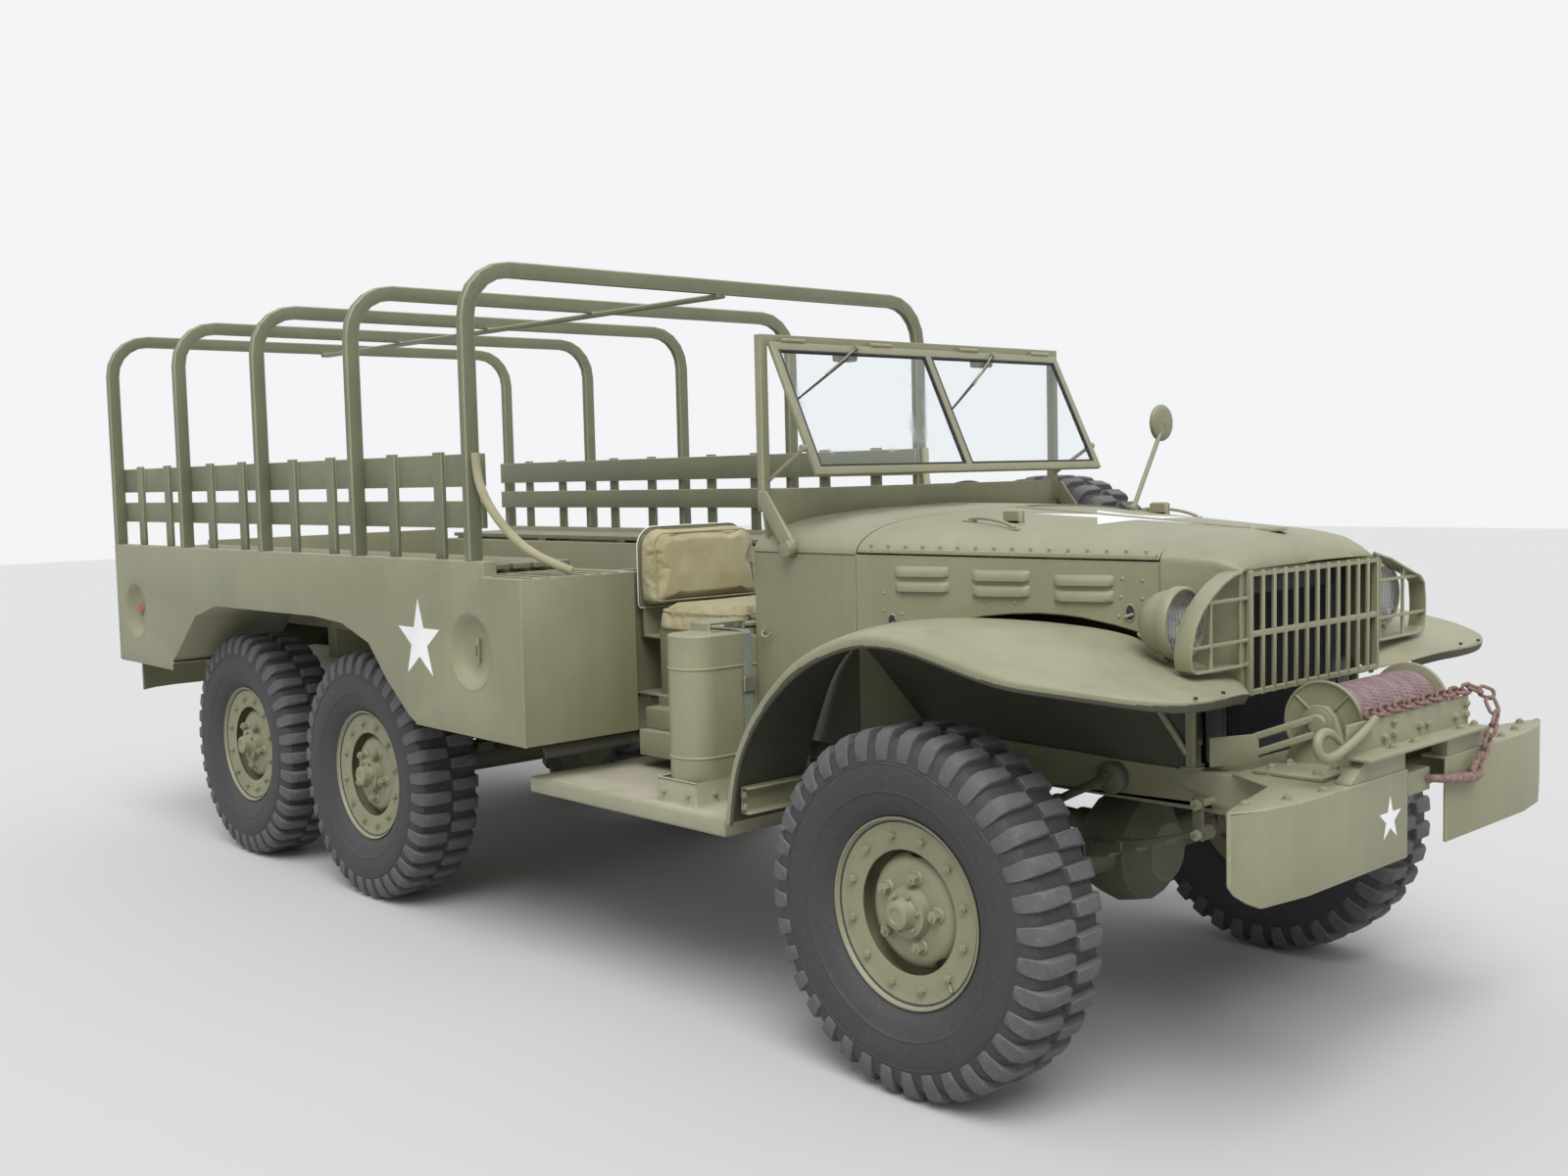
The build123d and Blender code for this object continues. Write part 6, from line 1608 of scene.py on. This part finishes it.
def makeMirror():
    head = spun("mirrorHead", [(1.4682, 0), (1.4682, 0.0565), (1.4664, 0.0580), (1.4664, 0.0606), (1.4690, 0.0619),
                               (1.4740, 0.0619), (1.4790, 0.0590), (1.4840, 0.0490), (1.4866, 0.0340),
                               (1.4878, 0.0150), (1.4880, 0)],
                               mirrorCentre, 56, (1, 0, 0))
    dress(head, "paint", "mirror")
    paintInside(head, lambda face: face.normal.x < -0.9 and
                (face.center - Vector((face.center.x, *mirrorCentre[1:]))).length < 0.0560, 1)
    arm = tube("mirrorArm", [(1.520, 0.679, 1.290), (1.519, 0.700, 1.335), (1.515, 0.722, 1.376),
                             (1.508, 0.762, 1.424), (1.482, 0.920, 1.610),
                             (1.480, 0.944, 1.642), (1.480, 0.950, 1.660)], 0.0078, 14)
    foot = box("mirrorFoot", 1.500, 1.540, 0.6703, 0.6780, 1.262, 1.302)
    clamp = spun("mirrorClamp", [(1.4880, 0.012), (1.4895, 0.010), (1.4895, 0)], mirrorCentre, 20, (1, 0, 0))
    elbow = spun("mirrorElbow", [(-0.011, 0), (-0.011, 0.010), (-0.006, 0.013), (0.006, 0.013), (0.011, 0.010),
                                 (0.011, 0)], (1.514, 0.724, 1.378), 20,
                 (1, 0, 0))
    for part in (arm, clamp, elbow):
        dress(part, "paint")
    softened(foot, 0.002)
    screws = hexBolt("mirrorScrew", 0.011, 0.006)
    dress(screws, "edge")
    heads = bolts("mirrorScrews", screws, [((x, 0.678, z), (0, 1, 0))
                                           for x in (1.507, 1.533) for z in (1.269, 1.295)])
    dropped(screws)
    return place(join("rear_view_mirror", [smooth(head, 40), smooth(arm, 50), foot, smooth(clamp), smooth(elbow),
                                           heads]), "truck",
                 ["mirror"])


makeMirror()

# steering wheel: rim with finger grips, three spokes, horn button
steering = {"centre": (1.000, 0.345, 1.310), "column": (-0.78, 0, 0.626), "radius": 0.205, "thick": 0.0118,
            "grips": 40}


def makeSteeringWheel():
    deselect()
    bpy.ops.mesh.primitive_torus_add(major_segments=160, minor_segments=14, major_radius=steering["radius"],
                                     minor_radius=steering["thick"])
    rim = name(bpy.context.object, "steeringRim")
    for vertex in rim.data.vertices:        # grips pressed into the under side
        around = math.atan2(vertex.co.y, vertex.co.x)
        if vertex.co.z < 0.002:
            grip = 0.0022 * (0.5 + 0.5 * math.cos(around * steering["grips"]))
            vertex.co.z += grip * min((0.002 - vertex.co.z) / 0.010, 1)
    parts = [dress(rim, "black")]
    for angle in (90, 210, 330):
        a = math.radians(angle)
        way = Vector((math.cos(a), math.sin(a), 0))
        parts.append(dress(tube("spoke", [way * 0.012 + Vector((0, 0, -0.004)), way * 0.060 + Vector((0, 0, -0.001)),
                                          way * 0.150, way * 0.200],
                                [0.0100, 0.0085, 0.0065, 0.0075], 12), "black"))
    hub = spun("wheelHub", [(-0.038, 0), (-0.038, 0.0245), (-0.020, 0.0265), (-0.004, 0.0300), (0.002, 0.0300),
                            (0.005, 0.0270), (0.0055, 0.0200), (0.0090, 0.0185), (0.0110, 0.0120), (0.0115, 0)], (0,
                            0, 0), 36, (0, 0, 1))
    parts.append(smooth(dress(hub, "black"), 40))
    whole = join("steering_wheel_rim", parts)
    turn = Vector(steering["column"]).to_track_quat("Z", "Y").to_matrix().to_4x4()
    whole.data.transform(Matrix.Translation(steering["centre"]) @ turn)
    return place(smooth(whole, 40), "steering_wheel", ["steering_wheel"])


makeSteeringWheel()
print("mirror and steering wheel made")


# fuel can: weld beads round it, strap over it, straps' buckle; holder's bolts
canBox = {"x": (1.032, 1.197), "y": (-0.900, -0.555), "outer": 0.076, "inner": 0.020}


def roundedLoop(z, out=0.0, steps=8):
    (x0, x1), (y0, y1) = canBox["x"], canBox["y"]
    points = []
    for cornerX, cornerY, radius, start in ((x1, y1, canBox["inner"], 0), (x0, y1, canBox["inner"], 90),
                                            (x0, y0, canBox["outer"], 180), (x1, y0, canBox["outer"], 270)):
        cx = cornerX - radius if start in (0, 270) else cornerX + radius
        cy = cornerY - radius if start in (0, 90) else cornerY + radius
        for k in range(steps + 1):
            a = math.radians(start + 90 * k / steps)
            points.append(Vector((cx + (radius + out) * math.cos(a), cy + (radius + out) * math.sin(a), z)))
    return points


def makeCanDetails():
    parts = []
    for z in (0.730, 0.980):
        rings = [roundedLoop(z + dz, out) for dz, out in ((-0.0050, -0.002), (-0.0036, 0.0014), (0, 0.0030),
                                                          (0.0036, 0.0014), (0.0050, -0.002))]
        parts.append(smooth(dress(fixNormals(bridged("weldBead", rings, closed=True)), "paint"), 60))
    # strap from the holder's front over the can's top to its back
    route = [(1.2045, 0.640), (1.2030, 0.760), (1.2020, 1.000), (1.2005, 1.0700), (1.1900, 1.0790), (1.1145, 1.0810),
             (1.0390, 1.0790), (1.0280, 1.0700), (1.0265, 1.000), (1.0255, 0.640)]
    rows = []
    for y in (-0.722, -0.690):
        rows.append([Vector((x, y, z)) for x, z in route])
    band = bridged("canStrap", rows)
    outwards(band, (1.1145, -0.7, 0.85))
    walled(band, 0.0028)
    dress(band, "greyWeb", "greyWeb")
    parts.append(smooth(roundEdges(band, 0.0008, 1, 60), 40))
    buckle = box("strapBuckle", 1.2035, 1.2095, -0.728, -0.684, 0.905, 0.947)
    dress(buckle, "steel", "steel")
    roundEdges(buckle, 0.0015, 1, 30)
    parts.append(smooth(buckle))
    cap = spun("canCap", [(1.0960, 0), (1.0960, 0.0285), (1.0975, 0.0300), (1.1050, 0.0300), (1.1065, 0.0285),
                          (1.1072, 0.0200), (1.1075, 0)],
               (1.1145, -0.617, -0.0155), 32, (0, 0, 1))
    parts.append(smooth(dress(cap, "paint"), 40))
    bolt = hexBolt("holderBolt", 0.016, 0.007)
    dress(bolt, "edge")
    parts.append(bolts("holderBolts", bolt, [((x, -0.908, 0.632), (0, -1, 0)) for x in (1.060, 1.168)]
                       + [((1.1995, y, 0.632), (1, 0, 0)) for y in (-0.840, -0.610)]))
    dropped(bolt)
    return place(join("can_beads_and_strap", parts), "truck")


makeCanDetails()
print("fuel can detailed")

# seats: cushions and backs blown up as cloth, then seams and a thin shell behind each back
seat = {"in": 0.080, "out": 0.535, "voxel": 0.006, "frames": 20, "pressure": 4.0,
        "cushion": (0.5690, 0.9550, 1.0303, 1.0930), "back": (0.4835, 0.0560, 1.1050, 1.3500)}


def roundedOutline(u0, u1, v0, v1, lowRadius, highRadius, steps=7):
    # rounded rectangle as (u, v), its corners at v0 and v1 of their own radii
    points = []
    for cu, cv, radius, start in ((u1, v1, highRadius, 0), (u0, v1, highRadius, 90), (u0, v0, lowRadius, 180),
                                  (u1, v0, lowRadius, 270)):
        mu = cu - radius if start in (0, 270) else cu + radius
        mv = cv - radius if start in (0, 90) else cv + radius
        for k in range(steps + 1):
            a = math.radians(start + 90 * k / steps)
            points.append((mu + radius * math.cos(a), mv + radius * math.sin(a)))
    return points


def filled(piece, cap, growth, held, inside):
    # remeshed, blown up as cloth with the held points fixed, each point's way capped and kept inside its space
    remesh = piece.modifiers.new("remesh", "REMESH")
    remesh.mode = "VOXEL"
    remesh.voxel_size = seat["voxel"]
    applyAll(piece)
    start = [vertex.co.copy() for vertex in piece.data.vertices]
    group = piece.vertex_groups.new(name="held")
    group.add([vertex.index for vertex in piece.data.vertices if held(vertex.co)], 1.0, "REPLACE")
    cloth = piece.modifiers.new("cloth", "CLOTH")
    cloth.settings.quality = 6
    cloth.settings.mass = 0.15
    cloth.settings.tension_stiffness = 12
    cloth.settings.compression_stiffness = 12
    cloth.settings.bending_stiffness = 0.35
    cloth.settings.use_pressure = True
    cloth.settings.uniform_pressure_force = seat["pressure"]
    cloth.settings.shrink_min = -growth
    cloth.settings.effector_weights.gravity = 0
    cloth.settings.vertex_group_mass = "held"
    for step in range(1, seat["frames"] + 1):
        scene.frame_set(step)
    applyAll(piece)
    scene.frame_set(1)
    piece.vertex_groups.clear()
    for vertex, before in zip(piece.data.vertices, start):
        way = vertex.co - before
        if way.length > cap:
            vertex.co = before + way * (cap / way.length)
        vertex.co = inside(vertex.co)
    return piece


def welt(title, piece, points, radius=0.0028):
    # piping laid along the pad's surface
    spots = []
    for point in points:
        where, normal = piece.closest_point_on_mesh(Vector(point))[1:3]
        spots.append(where + normal * 0.0006)
    return dress(tube(title, spots, radius, 8, True, True, 3), "canvas")


def makeCushion():
    x0, x1, z0, z1 = seat["cushion"]
    y0, y1 = -seat["out"] + 0.005, -seat["in"] - 0.005
    plan = roundedOutline(y0, y1, x0, x1, 0.020, 0.055)
    piece = plate("cushion", [(x, y, z0) for y, x in plan], (0, 0, z1 - z0))
    fixNormals(piece)
    roundEdges(piece, 0.012, 3, 50)
    for vertex in piece.data.vertices:      # crowned from the start
        if vertex.co.z > z0 + 0.03:
            u = (vertex.co.x - x0) / (x1 - x0) * 2 - 1
            v = (vertex.co.y - y0) / (y1 - y0) * 2 - 1
            vertex.co.z += 0.006 * (1 - u * u) * (1 - v * v)
    filled(piece, 0.022, 0.025, lambda co: co.z < z0 + 0.0045,
           lambda co: Vector((min(max(co.x, 0.5655), 0.9660), min(max(co.y, -0.5420), -0.0745), max(co.z, z0))))
    seam = [(x, y, z1 + 0.006) for y, x in roundedOutline(y0 + 0.002, y1 - 0.002, x0 + 0.002, x1 - 0.002, 0.020,
                                                          0.055, 5)]
    dress(piece, "canvas")
    return smooth(join("seat_cushion_right", [piece, welt("cushionPiping", piece, seam)]), 60)


def makeBack():
    x0, thick, z0, z1 = seat["back"]
    y0, y1 = -seat["out"] + 0.005, -seat["in"] - 0.005
    outline = roundedOutline(y0, y1, z0, z1, 0.020, 0.062)
    piece = plate("backPad", [(x0, y, z) for y, z in outline], (thick, 0, 0))
    for vertex in piece.data.vertices:      # thicker at the foot
        if vertex.co.x > x0 + 0.02:
            vertex.co.x += (z1 - vertex.co.z) * 0.095
    fixNormals(piece)
    roundEdges(piece, 0.018, 4, 50)
    filled(piece, 0.016, 0.004, lambda co: co.x < x0 + 0.0045,
           lambda co: Vector((min(max(co.x, 0.4815), 0.5700), min(max(co.y, -0.5420), -0.0745),
                              min(max(co.z, 1.1000), 1.3580))))
    seam = [(x0 + thick + (z1 - z) * 0.095 + 0.008, y, z)
            for y, z in roundedOutline(y0 + 0.002, y1 - 0.002, z0 + 0.002, z1 - 0.002, 0.020, 0.062, 5)]
    dress(piece, "canvas")
    return smooth(join("seat_back_right", [piece, welt("backPiping", piece, seam)]), 60)


rightPads = [makeCushion(), makeBack()]
for pad in rightPads:
    for piece, side in ((pad, "right"), (mirrorAcross(pad, pad.name.replace("right", "left")), "left")):
        place(piece, "truck", ["seat_pads"])
for side, sideName in bothSides:
    outline = [(side * y, z) for y, z in roundedOutline(0.0780, 0.5375, 1.094, 1.3565, 0.014, 0.068)]
    shell = plate(f"seat_shell_{sideName}", [(0.4795, y, z) for y, z in outline], (-0.0035, 0, 0))
    lip = [Vector((0.4800, y, z)) for y, z in outline]
    parts = [dress(fixNormals(shell), "paint"), dress(tube("shellLip", lip, 0.0019, 8, False, True), "star")]
    place(join(f"seat_shell_{sideName}", parts), "truck")
print("seats made")


# steps under the seat box, hooks on the cowl, holes and marks on the fenders
def makeSmallParts():
    parts = []
    for side in (1, -1):
        outer = (0.600, 0.628) if side < 0 else (0.580, 0.600)
        for y, z0, z1 in ((outer[0], 0.722, 0.790), (outer[1], 0.640, 0.722)):
            step = box("sillStep", 0.582, 1.200, side * 0.5455, side * y, z0, z1 - 0.0008)
            parts.append(softened(step, 0.004))
        parts.append(dress(tube("cowlHook", [(1.232, side * 0.670, 1.078), (1.232, side * 0.681, 1.070),
                                             (1.250, side * 0.686, 1.060), (1.272, side * 0.686, 1.062),
                                             (1.276, side * 0.684, 1.074)], 0.0032, 8),
                                             "edge"))
        parts.append(smooth(dress(rod("hookPlate", (1.232, side * 0.6695, 1.080), (1.232, side * 0.6725, 1.080),
                                      0.010, 16), "paint")))
        # holes in the fender lip drawn as black plugs: painted shade
        for y in (0.703, 0.593):
            parts.append(dress(rod("lipHoleShade", (2.6525, side * y, 1.0155), (2.6600, side * y, 1.0150), 0.0035, 10),
                               "black"))
        # dark seam lines where the cowl's and the nose's sheets meet
        parts.append(dress(box("cowlSeam", 1.2025, 1.6015, side * 0.6696, side * 0.6712, 1.2985, 1.3010), "black"))
        seam = [Vector((x, side * (stationAt(x)[0] + 0.0004), stationAt(x)[2] - 0.001))
                for x in (2.3700, 2.42, 2.48, 2.515, 2.535)]
        parts.append(dress(tube("noseSeam", seam, 0.0010, 6, False), "black"))
        # hook that holds the nose down to the fender
        parts.append(dress(tube("noseHook", [(2.322, side * 0.428, 1.112), (2.331, side * 0.432, 1.104),
                                             (2.350, side * 0.428, 1.098),
                                             (2.372, side * 0.420, 1.100)], 0.0042, 8), "edge"))
        # bolts of the brackets at the fender's rear end
        for x, z in ((1.430, 0.672), (1.430, 0.640)):
            parts.append(smooth(dress(rod("bracketBolt", (x, side * 0.9295, z), (x, side * 0.9370, z), 0.009, 6),
                                      "edge")))
    return place(join("steps_and_small_hooks", parts), "truck")


makeSmallParts()


# springs: clips round the leaves, clamps over the axle seats, shackle bolts
spring = {"y": 0.430, "halfWidth": 0.022, "leaf": 0.009, "front": {"x": 1.9775, "top": 0.564, "span": 0.520,
                                                                   "rise": 0.092},
          "shock": (2.235, 0.3995, 0.745)}


def makeSpringDetails():
    # clips, clamps and shock parts in the darker chassis olive: dirt and painted shade
    parts = []
    front = spring["front"]
    for side in (1, -1):
        y0 = side * (spring["y"] - spring["halfWidth"] - 0.004)
        y1 = side * (spring["y"] + spring["halfWidth"] + 0.004)
        for dx in (-0.300, -0.190, 0.190, 0.300):
            z = front["top"] + front["rise"] * (dx / front["span"]) ** 2
            leaves = 5 - int(abs(dx) / front["span"] / 0.16)
            clip = box("leafClip", front["x"] + dx - 0.010, front["x"] + dx + 0.010, y0, y1,
                       z - spring["leaf"] * leaves - 0.004, z + 0.004)
            parts.append(softened(clip, 0.002, 1, ("chassisDirtAndShade", "chassisEdgeDirtAndShade")))
        for dx in (-0.048, 0.048):
            points = [(front["x"] + dx, y0, 0.455), (front["x"] + dx, y0, 0.560),
                      (front["x"] + dx, y0 + side * 0.004, 0.571), (front["x"] + dx, side * spring["y"], 0.575),
                      (front["x"] + dx, y1 - side * 0.004, 0.571), (front["x"] + dx, y1, 0.560),
                      (front["x"] + dx, y1, 0.455)]
            parts.append(dress(tube("clampBolt", points, 0.0065, 10, False), "chassisDirtAndShade"))
        seatPlate = box("clampPlate", front["x"] - 0.066, front["x"] + 0.066, y0 - side * 0.008, y1 + side * 0.008,
                        0.5640, 0.5700)
        parts.append(softened(seatPlate, 0.002, 1, ("chassisDirtAndShade", "chassisEdgeDirtAndShade")))
        for x, z in ((2.505, 0.722), (2.505, 0.650), (1.462, 0.640)):
            nut = rod("shackleNut", (x, side * 0.4595, z), (x, side * 0.4720, z), 0.0135, 6)
            nipple = rod("greaseNipple", (x, side * 0.4710, z), (x, side * 0.4800, z), 0.0035, 8)
            parts += [smooth(dress(nut, "edge")), smooth(dress(nipple, "steel"))]
        # shock absorber's body on the rail, its arm and link to the axle
        body = spun("shockBody", [(0, 0), (0, 0.036), (0.006, 0.040), (0.028, 0.040), (0.036, 0.034), (0.040, 0.020),
                                  (0.052, 0.018), (0.052, 0)],
                    (0, 0, 0), 28)
        body.data.transform(Matrix.Translation(spring["shock"]))
        parts.append(smooth(dress(toSide(body, side), "chassisDirtAndShade"), 40))
        parts.append(dress(tube("shockArm", [(2.235, side * 0.4460, 0.745), (2.180, side * 0.4480, 0.722),
                                             (2.095, side * 0.4520, 0.676)],
                                [0.014, 0.011, 0.011], 10), "chassisDirtAndShade"))
        parts.append(dress(tube("shockLink", [(2.095, side * 0.4660, 0.684), (2.090, side * 0.4660, 0.560),
                                              (2.060, side * 0.4640, 0.500)],
                                0.0075, 10), "chassisDirtAndShade"))
        for where in ((2.095, side * 0.458, 0.676), (2.060, side * 0.460, 0.497)):
            eye = spun("linkEye", [(-0.011, 0), (-0.011, 0.013), (-0.007, 0.0165), (0.007, 0.0165), (0.011, 0.013),
                                   (0.011, 0)], where, 18)
            parts.append(smooth(dress(eye, "chassisDirtAndShade"), 40))
    return place(join("spring_clamps_and_shocks", parts), "truck")


makeSpringDetails()
print("small parts and springs made")
